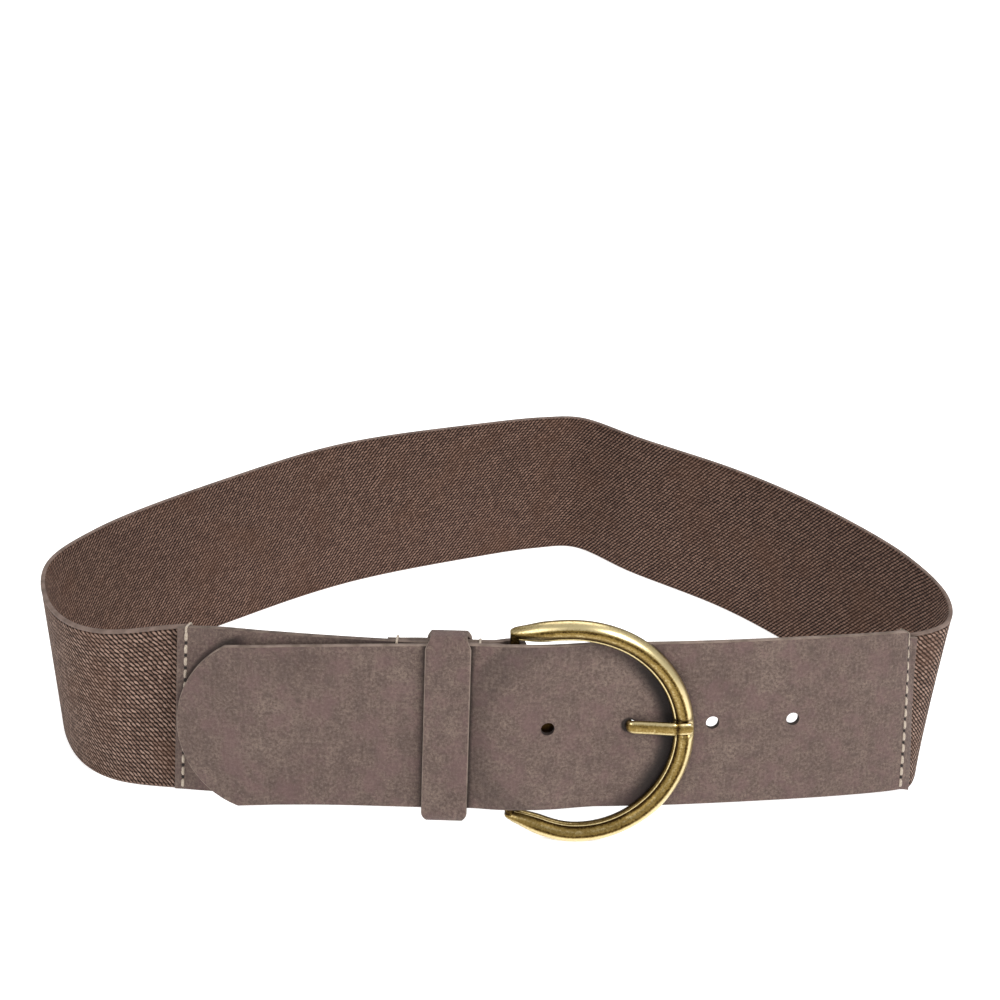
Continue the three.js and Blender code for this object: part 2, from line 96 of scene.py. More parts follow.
# Stations of the lower edge: across, depth, lean and lift, from the bar round the loop and back.
# The band turns a little more smoothly here than in the solids, at the end of the right strap.
STATIONS = [
    (0.012, -0.005, -1.0, 1.00),
    (0.194, 0.001, -1.0, 0.91),
    (0.453, 0.062, -1.0, 0.62),
    (0.471, 0.084, -1.0, 0.28),
    (0.492, 0.167, 0.5, 0.09),
    (0.494, 0.276, 1.0, 0.00),
    (0.487, 0.395, 0.4, 0.00),
    (0.407, 0.583, 0.6, 0.00),
    (0.323, 0.748, 0.3, 0.00),
    (0.211, 0.902, 0.1, 0.00),
    (0.139, 1.012, -0.2, 0.00),
    (0.086, 1.007, -0.1, 0.00),
    (-0.006, 0.964, 0.1, 0.00),
    (-0.165, 0.865, 0.5, 0.00),
    (-0.295, 0.734, 0.4, 0.00),
    (-0.460, 0.519, 0.2, 0.00),
    (-0.501, 0.392, 0.4, 0.00),
    (-0.480, 0.240, 0.5, 0.02),
    (-0.433, 0.148, 0.1, 0.18),
    (-0.338, 0.085, -1.2, 0.52),
    (-0.244, 0.045, -1.0, 0.82),
]

# Layers at the front, as distances outward from the middle of the elastic.
STRAP_BACK = ELASTIC_THICK / 2 + SEAM_GAP
STRAP_FACE = STRAP_BACK + LEATHER_THICK
LINING_FACE = STRAP_BACK - CLEARANCE
LINING_BACK = LINING_FACE - LEATHER_THICK
BAR_HEIGHT = (STRAP_BACK + LINING_FACE) / 2
FOLD_RADIUS = BAR_DIAMETER / 2 + CLEARANCE + LEATHER_THICK / 2
FOLD_FACE = BAR_HEIGHT + FOLD_RADIUS + LEATHER_THICK / 2
BILLET_BACK_AT_TONGUE = STRAP_FACE + CLEARANCE
BILLET_BACK_AT_BAR = FOLD_FACE + CLEARANCE
BILLET_BACK_AT_FRAME = STRAP_BACK
FRAME_BACK_AT_BAR = BAR_HEIGHT - BAR_DIAMETER / 2 + CLEARANCE
FRAME_BACK = BILLET_BACK_AT_FRAME + LEATHER_THICK + 2 * CLEARANCE
MID_WIDTH = BAND_WIDTH / 2
FRAME_MIDDLE = MID_WIDTH - FRAME_SAG
FRAME_RADIUS = (FRAME_HEIGHT - FRAME_SECTION) / 2
FRAME_CENTRE = FRAME_REACH - FRAME_HEIGHT / 2
PRONG_LENGTH = FRAME_REACH - PRONG_SHORT_OF_FRAME
TONGUE_WIDTH = LEATHER_WIDTH - TONGUE_NARROWING
FOOT_TOP = LEATHER_WIDTH + CLEARANCE + FOOT_SECTION / 2
FOOT_BOTTOM = MID_WIDTH - LEATHER_WIDTH / 2 - STRAP_SAG - 2 * CLEARANCE - FOOT_SECTION / 2
PRONG_RISE = PRONG_HOLE_AT - (PRONG_HOLE_LENGTH - PRONG_THICK) / 2 - 3 * CLEARANCE
LEAN_ANGLE = math.radians(FRONT_LEAN)
FRAME_OVERHANG = FRAME_HEIGHT / 2 - FRAME_MIDDLE
BUCKLE_LIFT = FRAME_OVERHANG * math.cos(LEAN_ANGLE) - FRAME_BACK * math.sin(LEAN_ANGLE)

# Where the visible pieces differ a little from the solids: the leather ends and their seams aren't
# square to the band, and the right strap rides up where it bulges over the bar.
SEAM_SKEW_TOP = 2.2
SEAM_SKEW_BOTTOM = -5.0
SEAM_SKEW_REACH = 46
STRAP_RISE_AT_BAR = 0.8
STRAP_RISE_REACH = 16

# The punched holes lie a little further left, and the middle one is close round the prong.
HOLE_SHIFT = -2.4
VISIBLE_HOLE = 5.6
PRONG_NECK_WIDTH = 4
PRONG_VISIBLE_WIDTH = 5.6

# The frame is a little fuller, with a shallow notch for the prong.
FRAME_FULLNESS = 1.06
FRAME_NOTCH = 1.9
FRAME_NOTCH_REACH = 3.4

# Rows of stitches: where they run across the band, and how far apart the stitches are.
STITCH_PITCH = 5.3
THREAD_WIDTH = 1.35
EDGE_THREAD_WIDTH = 1.0
LEFT_SEAM_AT = -137.2
RIGHT_SEAM_TOP_AT = 170.3
RIGHT_SEAM_BOTTOM_AT = 167.0
LEFT_SEAM_HEIGHTS = (1.6, 73.6)
RIGHT_SEAM_HEIGHTS = (0.6, 72.4)
FOLD_ROWS = {"fold_row_near": -14.2, "fold_row_far": -48}

# Where the left strap's and the keeper's materials start, so that no two leather pieces have like marks.
FLAT_START = 300
KEEPER_FLAT_START = 500

# The camera: millimetres on the route's own axes, turns in radians, focal length in frame widths.
CAMERA_ON_ROUTE = (-56.937, -861.397, 554.943)
CAMERA_PITCH = 0.49192
CAMERA_YAW = 0.07192
CAMERA_ROLL = 0.03157
CAMERA_FOCAL = 2.2


def smoothstep(value, low, high):
    share = np.clip((np.asarray(value, float) - low) / (high - low), 0, 1)
    return share * share * (3 - 2 * share)


def lerp(low, high, share):
    return low + (high - low) * share


# How far along a line each of its points lies.
def lengths_along(points):
    return np.r_[0, np.cumsum(np.linalg.norm(np.diff(points, axis=0), axis=1))]


def points_at(spots, lengths, points):
    return np.stack([np.interp(spots, lengths, column) for column in points.T], -1)


def without_doubles(points):
    lengths = lengths_along(points)
    keep = np.r_[True, np.diff(lengths) > 1e-6]
    return points[keep], lengths[keep]


def unit(slopes):
    return slopes / np.linalg.norm(slopes, axis=1, keepdims=True)


# The closed route of the lower edge, as a fine table: a centripetal Catmull-Rom curve through the stations.
def cubic(start, end, start_slope, end_slope, share):
    square = -3 * start + 3 * end - 2 * start_slope - end_slope
    cube = 2 * start - 2 * end + start_slope + end_slope
    return start + start_slope * share + square * share ** 2 + cube * share ** 3


def route_table(steps=400):
    rows = np.array(STATIONS, float)
    spots = np.c_[rows[:, 0] * LOOP_WIDTH, (rows[:, 1] - 0.5) * LOOP_DEPTH]
    stances = rows[:, 2:]
    count = len(rows)
    share = np.linspace(0, 1, steps, endpoint=False)[:, None]
    places = []
    attitudes = []
    for index in range(count):
        picks = [(index + shift) % count for shift in (-1, 0, 1, 2)]
        before, start, end, after = spots[picks]
        gap_before = math.sqrt(np.linalg.norm(start - before))
        gap = math.sqrt(np.linalg.norm(end - start))
        gap_after = math.sqrt(np.linalg.norm(after - end))
        leave = (start - before) / gap_before - (end - before) / (gap_before + gap) + (end - start) / gap
        arrive = (end - start) / gap - (after - start) / (gap + gap_after) + (after - end) / gap_after
        places.append(cubic(start, end, leave * gap, arrive * gap, share))
        before, start, end, after = stances[picks]
        attitudes.append(cubic(start, end, (end - before) / 2, (after - start) / 2, share))
    places = np.vstack(places)
    attitudes = np.vstack(attitudes)
    places = np.vstack([places, places[:1]])
    attitudes = np.vstack([attitudes, attitudes[:1]])
    slopes = np.roll(places[:-1], -1, 0) - np.roll(places[:-1], 1, 0)
    slopes = np.vstack([slopes, slopes[:1]])
    return lengths_along(places), np.c_[places, attitudes, slopes]


ROUTE_LENGTHS, ROUTE_ROWS = route_table()
LOOP_LENGTH = ROUTE_LENGTHS[-1]


# Turns strap coordinates into a place, in metres: along the band from the bar, up its width, and outward.
def place_raw(along, up, outward):
    along, up, outward = np.broadcast_arrays(along, up, outward)
    spot = np.mod(along, LOOP_LENGTH)
    columns = [np.interp(spot, ROUTE_LENGTHS, column) for column in ROUTE_ROWS.T]
    x, y, lean, lift, slope_x, slope_y = columns
    size = np.hypot(slope_x, slope_y)
    normal_x = slope_y / size
    normal_y = -slope_x / size
    angle = lean * LEAN_ANGLE
    sine = np.sin(angle)
    cosine = np.cos(angle)
    flat = up * sine + outward * cosine
    height = lift * BUCKLE_LIFT + up * cosine - outward * sine
    return np.stack([x + normal_x * flat, y + normal_y * flat, height], -1)


def route_shift():
    start = BILLET_LENGTH - ELASTIC_TUCK
    end = LOOP_LENGTH - (STRAP_LENGTH - ELASTIC_TUCK)
    grid = np.meshgrid(np.linspace(start, end, 900), [0, BAND_WIDTH], [-ELASTIC_THICK / 2, ELASTIC_THICK / 2])
    points = place_raw(*grid).reshape(-1, 3)
    low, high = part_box("elastic_band")
    shift_x = (low.x + high.x) * 500 - (points[:, 0].min() + points[:, 0].max()) / 2
    shift_y = high.y * 1000 - points[:, 1].max()
    return np.array([shift_x, shift_y, 0])


ROUTE_SHIFT = route_shift()


def place(along, up, outward):
    return (place_raw(along, up, outward) + ROUTE_SHIFT) / 1000


# Meshes

def put(name, data):
    thing = bpy.data.objects.new(name, data)
    bpy.context.scene.collection.objects.link(thing)
    return thing


def finish_mesh(mesh, name, materials, sharp_angle):
    mesh.set_sharp_from_angle(angle=math.radians(sharp_angle))
    for material in materials:
        mesh.materials.append(material)
    return put(name, mesh)


# Turns all faces outward. With weld it first joins points that fall together.
def face_outward(mesh, weld=False):
    solid = bmesh.new()
    solid.from_mesh(mesh)
    if weld:
        bmesh.ops.remove_doubles(solid, verts=solid.verts, dist=2e-6)
        bmesh.ops.dissolve_degenerate(solid, edges=solid.edges, dist=1e-7)
    bmesh.ops.recalc_face_normals(solid, faces=solid.faces)
    solid.to_mesh(mesh)
    solid.free()


def grid_faces(rows, columns, offset, flip, closed=False):
    faces = []
    for row in range(rows if closed else rows - 1):
        below = (row + 1) % rows
        for column in range(columns - 1):
            face = [
                offset + row * columns + column,
                offset + row * columns + column + 1,
                offset + below * columns + column + 1,
                offset + below * columns + column,
            ]
            faces.append(face[::-1] if flip else face)
    return faces


# A thin piece from its two broad faces, which meet at its rounded edges. centre and normal are in strap
# coordinates, depth is each point's distance to the nearest edge, and flat gives the material's (u, v).
# bands: how far the edge's own material reaches in on the front and on the back.
def slab(name, centre, normal, depth, thick, rounding, flat, materials, bands=(0.36, 0.36), closed=False):
    rows, columns = depth.shape
    share = np.clip(depth / rounding, 0, 1)
    half = thick / 2 * (1 - (1 - share) ** 2.6) ** (1 / 2.6)
    sides = [place(*np.moveaxis(centre + normal * (sign * half)[..., None], -1, 0)) for sign in (1, -1)]
    vertices = np.vstack([side.reshape(-1, 3) for side in sides])
    faces = grid_faces(rows, columns, 0, False, closed)
    faces += grid_faces(rows, columns, rows * columns, True, closed)
    mesh = bpy.data.meshes.new(name)
    mesh.from_pydata(vertices.tolist(), [], faces)
    indices = np.array(faces)
    depths = np.tile(depth.ravel(), 2)
    limits = np.concatenate([np.broadcast_to(band, depth.shape).ravel() for band in bands])
    slots = np.where(indices[:, 0] < rows * columns, 0, 2)
    slots[depths[indices].mean(1) < limits[indices].mean(1)] = 1
    mesh.polygons.foreach_set("material_index", slots.astype(np.int32))
    layer = mesh.uv_layers.new(name="flat")
    flats = np.tile(flat.reshape(-1, 2), (2, 1)) / 1000
    layer.data.foreach_set("uv", flats[indices.ravel()].ravel().astype(np.float32))
    mesh.polygons.foreach_set("use_smooth", np.ones(len(faces), bool))
    face_outward(mesh, weld=True)
    return finish_mesh(mesh, name, materials, 80)


# Distances from an edge, close together at the edge and further apart inside.
EDGE_STEPS = np.array([0, 0.04, 0.12, 0.26, 0.45, 0.7, 1.1, 1.8, 2.6])


def across_shares(half, pitch=2.6):
    inner = half - EDGE_STEPS[-1]
    middle = np.linspace(-inner, inner, 2 * int(math.ceil(inner / pitch)) + 1)
    line = np.r_[-(half - EDGE_STEPS[:-1]), middle, (half - EDGE_STEPS[:-1])[::-1]]
    return line / half


def along_steps(start, end, pitch=2.0, ease_start=True):
    low = start + (EDGE_STEPS[-1] if ease_start else 0)
    high = end - EDGE_STEPS[-1]
    line = np.linspace(low, high, int(math.ceil((high - low) / pitch)) + 1)
    if ease_start:
        line = np.r_[start + EDGE_STEPS[:-1], line]
    return np.r_[line, (end - EDGE_STEPS[:-1])[::-1]]


# Slow, shallow unevenness of real leather, in millimetres.
def ripple(along, up, size):
    waves = np.sin(along / 17 + up / 41 + 1.3) + 0.6 * np.sin(along / 9.1 - up / 23 + 0.4)
    return size * waves / 1.6


def seam_offset(up):
    share = np.clip(up / LEATHER_WIDTH, 0, 1)
    return lerp(SEAM_SKEW_BOTTOM, SEAM_SKEW_TOP, share)


# Materials

class Nodes:
    def __init__(self, name):
        self.material = bpy.data.materials.new(name)
        self.material.use_nodes = True
        self.tree = self.material.node_tree
        self.shader = self.tree.nodes["Principled BSDF"]

    def add(self, kind, **inputs):
        node = self.tree.nodes.new(kind)
        for key, value in inputs.items():
            self.feed(node.inputs[key.replace("_", " ")], value)
        return node

    def feed(self, socket, value):
        if isinstance(value, bpy.types.NodeSocket):
            self.tree.links.new(value, socket)
        else:
            socket.default_value = value

    def math(self, operation, first, second=0.0, third=0.0):
        node = self.tree.nodes.new("ShaderNodeMath")
        node.operation = operation
        for socket, value in zip(node.inputs, (first, second, third)):
            self.feed(socket, value)
        return node.outputs[0]

    def noise(self, where, scale, detail=3.0, roughness=0.55):
        node = self.add("ShaderNodeTexNoise", Vector=where, Scale=scale, Detail=detail, Roughness=roughness)
        return node.outputs["Fac"]

    def ramp(self, value, low, high, low_to=0.0, high_to=1.0):
        node = self.tree.nodes.new("ShaderNodeMapRange")
        node.interpolation_type = "SMOOTHSTEP"
        for key, number in (("From Min", low), ("From Max", high), ("To Min", low_to), ("To Max", high_to)):
            node.inputs[key].default_value = number
        self.feed(node.inputs["Value"], value)
        return node.outputs["Result"]

    def ramp_between(self, value, low, high):
        node = self.tree.nodes.new("ShaderNodeMapRange")
        node.interpolation_type = "SMOOTHSTEP"
        for key, number in (("Value", value), ("From Min", low), ("From Max", high)):
            self.feed(node.inputs[key], number)
        return node.outputs["Result"]

    def random(self, first, second):
        spot = self.tree.nodes.new("ShaderNodeCombineXYZ")
        self.feed(spot.inputs[0], first)
        self.feed(spot.inputs[1], second)
        node = self.tree.nodes.new("ShaderNodeTexWhiteNoise")
        node.noise_dimensions = "2D"
        self.feed(node.inputs["Vector"], spot.outputs[0])
        return node.outputs["Value"]

    def mix(self, share, first, second):
        node = self.tree.nodes.new("ShaderNodeMix")
        node.data_type = "RGBA"
        self.feed(node.inputs["Factor"], share)
        self.feed(node.inputs["A"], first)
        self.feed(node.inputs["B"], second)
        return node.outputs["Result"]

    def bump(self, height, distance, strength):
        node = self.add("ShaderNodeBump", Height=height, Distance=distance, Strength=strength)
        return node.outputs["Normal"]

    def uv(self, stretch=(1, 1, 1), turn=0.0):
        source = self.tree.nodes.new("ShaderNodeUVMap")
        source.uv_map = "flat"
        node = self.tree.nodes.new("ShaderNodeMapping")
        self.feed(node.inputs["Vector"], source.outputs[0])
        node.inputs["Scale"].default_value = stretch
        node.inputs["Rotation"].default_value = (0, 0, turn)
        return node.outputs[0]

    def object_space(self):
        return self.tree.nodes.new("ShaderNodeTexCoord").outputs["Object"]

    def close(self, colour, roughness, height, distance, strength):
        self.feed(self.shader.inputs["Base Color"], colour)
        self.feed(self.shader.inputs["Roughness"], roughness)
        self.feed(self.shader.inputs["Normal"], self.bump(height, distance, strength))
        return self.material


def tone(red, green, blue):
    def channel(value):
        value /= 255
        return value / 12.92 if value <= 0.04045 else ((value + 0.055) / 1.055) ** 2.4
    return (channel(red), channel(green), channel(blue), 1.0)


def leather_material(name, base, lighter, darker, grain=1.0, painted_shade=None):
    n = Nodes(name)
    flat = n.uv()
    cloud = n.noise(flat, 26, 4, 0.6)
    patch = n.noise(flat, 170, 5, 0.7)
    speck = n.noise(flat, 760, 5, 0.75)
    nap = n.noise(flat, 2600, 3, 0.7)
    stroke = n.noise(n.uv((1.0, 0.16, 1), 0.06), 520, 4, 0.65)
    rosy = n.noise(n.uv((1, 1, 1), 1.1), 70, 5, 0.65)
    scuff = n.noise(flat, 95, 6, 0.75)
    colour = n.mix(n.ramp(patch, 0.3, 0.7), darker, lighter)
    for cause, low, high, low_to, high_to, target in (
        (cloud, 0.35, 0.65, 0.4, 0.65, base),
        (cloud, 0.54, 0.70, 0, 0.5, darker),
        (cloud, 0.32, 0.48, 0.4, 0, lighter),
        (speck, 0.36, 0.58, 0.8, 0, darker),
        (speck, 0.54, 0.70, 0, 0.75, lighter),
        (stroke, 0.52, 0.72, 0, 0.35, lighter),
        (rosy, 0.45, 0.66, 0, 0.5, tone(100, 77, 76)),
        (scuff, 0.62, 0.70, 0, 0.5, tone(52, 42, 38)),
    ):
        colour = n.mix(n.ramp(cause, low, high, low_to, high_to), colour, target)
    # Painted shade: where the given mask is high, the nubuck is darkened towards a near-black brown.
    if painted_shade:
        colour = n.mix(painted_shade(n, flat), colour, tone(30, 24, 22))
    n.shader.inputs["Specular IOR Level"].default_value = 0.25
    n.shader.inputs["Sheen Weight"].default_value = 0.06
    n.shader.inputs["Sheen Roughness"].default_value = 0.5
    height = n.math("ADD", n.math("MULTIPLY", nap, 0.5), n.math("MULTIPLY", speck, 1.0))
    height = n.math("ADD", height, n.math("MULTIPLY", patch, 1.0))
    return n.close(colour, n.ramp(patch, 0.3, 0.7, 0.74, 0.9), height, 0.0003 * grain, 0.8)


# How far a spot lies from a centre, both in millimetres, on a strap's flat coordinates.
def distance(n, x, y, centre_x, centre_y):
    across = n.math("SUBTRACT", x, centre_x)
    over = n.math("SUBTRACT", y, centre_y)
    return n.math("SQRT", n.math("ADD", n.math("MULTIPLY", across, across), n.math("MULTIPLY", over, over)))


def millimetres(n, flat):
    parts = n.add("ShaderNodeSeparateXYZ", Vector=flat)
    return [n.math("MULTIPLY", parts.outputs[axis], 1000) for axis in (0, 1)]


# Right strap: painted shade where it dips under the frame, beside the keeper and round the prong.
def painted_shade_by_frame(n, flat):
    x, y = millimetres(n, flat)
    inner = FRAME_RADIUS - FRAME_SECTION / 2
    away = distance(n, x, y, FRAME_CENTRE, FRAME_MIDDLE)
    under_ring = n.ramp(away, inner + 6.5, inner + 9, 1, 0)
    by_frame = n.math("MULTIPLY", n.ramp(away, inner - 9, inner - 2.5), under_ring)
    by_frame = n.math("MULTIPLY", by_frame, n.ramp(x, 34, 60, 0.25, 0.97))
    beside = n.math("ABSOLUTE", n.math("SUBTRACT", x, KEEPER_AT))
    by_keeper = n.ramp(beside, KEEPER_WIDTH / 2 - 0.3, KEEPER_WIDTH / 2 + 2.4, 0.8, 0)
    by_prong = n.ramp(distance(n, x, y, PRONG_RISE, MID_WIDTH), 2.7, 3.9, 0.95, 0)
    return n.math("MAXIMUM", n.math("MAXIMUM", by_frame, by_keeper), by_prong)


# Left strap: painted shadow along the outline of the tongue that lies on it, and painted shade below its top
# edge, darker towards the bar.
def painted_shadow_by_tongue(n, flat):
    s, y = millimetres(n, flat)
    x = n.math("SUBTRACT", s, FLAT_START + STRAP_LENGTH)
    half = TONGUE_WIDTH / 2
    radius = (TONGUE_ROUND ** 2 + half ** 2) / (2 * TONGUE_ROUND)
    middle = LEATHER_WIDTH / 2 - 0.78 * TONGUE_SAG
    lean = n.math("MULTIPLY_ADD", n.math("SUBTRACT", y, middle), TONGUE_SKEW / (LEATHER_WIDTH / 2), x)
    away = distance(n, lean, y, radius - TONGUE_LENGTH, middle)
    by_arc = n.ramp(away, radius + 0.2, radius + 2.4, 0.7, 0)
    by_arc = n.math("MULTIPLY", by_arc, n.ramp(x, -116, -108, 1, 0))
    in_gap = n.ramp(x, -112, -40, 0, 0.7)
    return n.math("MAXIMUM", by_arc, in_gap)


def edge_material(name, base, darker):
    n = Nodes(name)
    where = n.object_space()
    fibre = n.noise(where, 1500, 4, 0.7)
    blotch = n.noise(where, 160, 3)
    colour = n.mix(n.ramp(blotch, 0.35, 0.7), base, darker)
    colour = n.mix(n.ramp(fibre, 0.5, 0.75, 0, 0.4), colour, darker)
    return n.close(colour, 0.85, fibre, 0.0002, 0.6)


# Twill elastic: slanted floats of yarn in rows. Each float has its own brightness and its own start.
def elastic_material(name, light, mid, dark, rows=1.0, relief=1.0):
    n = Nodes(name)
    flat = n.uv()
    drift = n.math("MULTIPLY", n.math("SUBTRACT", n.noise(flat, 120, 3), 0.5), 0.9)
    quiver = n.math("MULTIPLY", n.math("SUBTRACT", n.noise(flat, 900, 2), 0.5), 0.5)
    parts = n.add("ShaderNodeSeparateXYZ", Vector=flat)
    along = n.math("MULTIPLY", parts.outputs[0], 520)
    up = n.math("MULTIPLY", parts.outputs[1], 450)
    slope = n.math("ADD", n.math("ADD", along, up), n.math("ADD", drift, quiver))
    rib = n.math("FLOOR", slope)
    rib_phase = n.math("FRACT", slope)
    own_start = n.math("MULTIPLY", n.random(rib, 0.0), 0.25)
    row = n.math("ADD", n.math("MULTIPLY_ADD", up, rows, own_start), n.math("MULTIPLY", quiver, 0.8))
    row_phase = n.math("FRACT", row)
    own_tone = n.random(rib, n.math("FLOOR", row))
    off_centre = n.math("ABSOLUTE", n.math("MULTIPLY_ADD", row_phase, 2, -1))
    swell = n.math("SUBTRACT", 1.0, n.math("POWER", off_centre, 3))
    width = n.math("MULTIPLY_ADD", swell, 0.15, 0.05)
    off_middle = n.math("ABSOLUTE", n.math("SUBTRACT", rib_phase, 0.5))
    body = n.math("SUBTRACT", 1.0, n.ramp_between(off_middle, width, n.math("ADD", width, 0.22)))
    body = n.math("MULTIPLY", body, n.math("MULTIPLY_ADD", swell, 0.5, 0.5))
    yarn = n.noise(flat, 2400, 3, 0.7)
    shade = n.math("MULTIPLY", body, n.math("MULTIPLY_ADD", own_tone, 0.38, 0.62))
    shade = n.math("ADD", shade, n.math("MULTIPLY", n.math("SUBTRACT", yarn, 0.5), 0.3))
    colour = n.mix(n.ramp(shade, 0.02, 0.55), dark, mid)
    colour = n.mix(n.ramp(shade, 0.45, 1.0, 0, 0.9), colour, light)
    warm = n.noise(flat, 38, 3)
    colour = n.mix(n.ramp(warm, 0.45, 0.72, 0, 0.28), colour, tone(86, 58, 42))
    n.shader.inputs["Specular IOR Level"].default_value = 0.2
    return n.close(colour, 0.9, shade, 0.0005 * relief, 0.8)


def selvedge_material(name, base, darker):
    n = Nodes(name)
    flat = n.uv()
    fine = n.noise(n.uv((1, 0.3, 1)), 2200, 3, 0.7)
    blotch = n.noise(flat, 220, 3)
    colour = n.mix(n.ramp(blotch, 0.35, 0.7, 0, 0.6), base, darker)
    colour = n.mix(n.ramp(fine, 0.5, 0.8, 0, 0.35), colour, darker)
    return n.close(colour, 0.85, fine, 0.00018, 0.6)


def thread_material(name, base, darker):
    n = Nodes(name)
    where = n.object_space()
    ply = n.noise(where, 2600, 2, 0.6)
    colour = n.mix(n.ramp(ply, 0.42, 0.7), base, darker)
    n.shader.inputs["Sheen Weight"].default_value = 0.2
    return n.close(colour, 0.8, ply, 0.0002, 0.6)


# Antique brass: the second flat coordinate says how bright the spot is: partly how worn and tarnished it is,
# partly painted highlights, reflection bands and shade.
def brass_material(name, bright, worn, patina_and_shade):
    n = Nodes(name)
    where = n.object_space()
    cloud = n.noise(where, 160, 4, 0.6)
    speck = n.noise(where, 1100, 4, 0.7)
    brush = n.noise(where, 3200, 3, 0.7)
    wear_and_painted_light = n.add("ShaderNodeSeparateXYZ", Vector=n.uv()).outputs[1]
    ragged = n.math("MULTIPLY_ADD", n.math("SUBTRACT", speck, 0.5), 0.8, wear_and_painted_light)
    ragged = n.math("MULTIPLY_ADD", n.math("SUBTRACT", cloud, 0.5), 0.30, ragged)
    colour = n.mix(n.ramp(ragged, 0.10, 0.55), patina_and_shade, worn)
    colour = n.mix(n.ramp(ragged, 0.50, 0.98), colour, bright)
    n.shader.inputs["Metallic"].default_value = 1.0
    height = n.math("ADD", n.math("MULTIPLY", cloud, 1.0), n.math("MULTIPLY", brush, 0.3))
    return n.close(colour, n.ramp(ragged, 0.1, 0.9, 0.5, 0.3), height, 0.0002, 0.3)


def plain_material(name, base):
    n = Nodes(name)
    return n.close(base, 0.9, n.noise(n.object_space(), 1800, 2), 0.0001, 0.3)


LEATHER_TONES = (tone(96, 80, 73), tone(120, 104, 94), tone(68, 54, 50))
LEATHER = leather_material("nubuck_keeper", *LEATHER_TONES)
# The right strap's nubuck carries painted shade under the frame, beside the keeper and round the prong.
LEATHER_RIGHT = leather_material("nubuck_right", *LEATHER_TONES, painted_shade=painted_shade_by_frame)
# The left strap's nubuck carries a painted shadow along the tongue and painted shade towards the bar.
LEATHER_LEFT = leather_material("nubuck_left", *LEATHER_TONES, painted_shade=painted_shadow_by_tongue)
# The cut edges are lighter than the face: partly the raw edge's own tone, partly a painted highlight on the
# lit rims.
LEATHER_EDGE = edge_material("leather_edge", tone(124, 108, 98), tone(92, 78, 69))
# A darker copy of the edge material for the left strap: painted shade, for edges lying behind the tongue and
# under the buckle.
SHADED_STRAP_EDGE = edge_material("strap_edge_shaded", tone(104, 89, 80), tone(74, 61, 54))
LEATHER_BACK = leather_material("leather_back", tone(90, 75, 69), tone(104, 89, 81), tone(70, 57, 52), 1.4)
WEAVE_OUT = elastic_material("elastic_outer", tone(152, 126, 112), tone(92, 70, 59), tone(27, 17, 12))
WEAVE_IN = elastic_material("elastic_inner", tone(136, 108, 94), tone(92, 69, 59), tone(30, 18, 14), 1.5, 0.8)
SELVEDGE = selvedge_material("elastic_selvedge", tone(112, 94, 85), tone(66, 52, 45))
THREAD = thread_material("cream_thread", tone(172, 158, 142), tone(134, 119, 104))
# The walls of the punched holes and the slot are painted near black: painted shade inside the holes.
SHADED_HOLE_WALL = plain_material("hole_wall_shaded", tone(46, 35, 30))
# The needle holes are small near-black marks on the surface: painted shade.
NEEDLE_HOLE_SHADE = plain_material("needle_hole_shade", tone(20, 13, 9))
BRASS = brass_material("antique_brass", tone(214, 196, 148), tone(128, 106, 58), tone(44, 29, 11))


# Elastic band

def elastic_web():
    half = MID_WIDTH
    start = BILLET_LENGTH - ELASTIC_TUCK
    end = LOOP_LENGTH - (STRAP_LENGTH - ELASTIC_TUCK)
    along = along_steps(start, end)
    rim = np.array([0, 0.05, 0.15, 0.3, 0.5, 0.75, 1.1, 1.45, 1.6, 1.75, 1.9, 2.1, 2.6, 3.6])
    inner = half - rim[-1]
    across = np.r_[-(half - rim[:-1]), np.linspace(-inner, inner, 45), (half - rim[:-1])[::-1]]
    A, X = np.meshgrid(along, across, indexing="ij")
    depth_side = half - np.abs(X)
    depth = np.minimum(depth_side, np.minimum(A - start, end - A))
    hidden = 1 - smoothstep(np.minimum(A - start, end - A), ELASTIC_TUCK / 3, 0.8 * ELASTIC_TUCK)
    squeeze = 1 - 1.5 * LEATHER_INSET / half * hidden
    centre = np.stack([A, MID_WIDTH + X * squeeze, np.zeros_like(A)], -1)
    normal = np.zeros_like(centre)
    groove = np.exp(-((half - X - 1.75) / 0.3) ** 2)
    normal[..., 2] = 1 - 0.3 * groove - 0.12 * smoothstep(half - X, 1.5, 1.8)
    flat = np.stack([A, MID_WIDTH + X], -1)
    piece = slab("elastic_web", centre, normal, depth, ELASTIC_THICK, 1.0, flat,
                 [WEAVE_OUT, SELVEDGE, WEAVE_IN], (np.where(X > 0, 1.55, 0.7), 0.4))
    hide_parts("elastic_band")
    return piece


# Left strap, folded round the bar

def strap_middle(along):
    return BAND_WIDTH - LEATHER_WIDTH / 2 - STRAP_SAG * smoothstep(along, -STRAP_LENGTH, -FOLD_RADIUS)


def bezier(points, count):
    share = np.linspace(0, 1, count)[:, None]
    start, first, second, end = [np.array(point, float) for point in points]
    rest = 1 - share
    early = rest ** 3 * start + 3 * rest ** 2 * share * first
    return early + 3 * rest * share ** 2 * second + share ** 3 * end


def resample(points, pitch):
    lengths = lengths_along(points)
    spots = along_steps(0, lengths[-1], pitch)
    slope = unit(points_at(spots, lengths, np.gradient(points, lengths, axis=0)))
    return spots, points_at(spots, lengths, points), slope, lengths[-1]


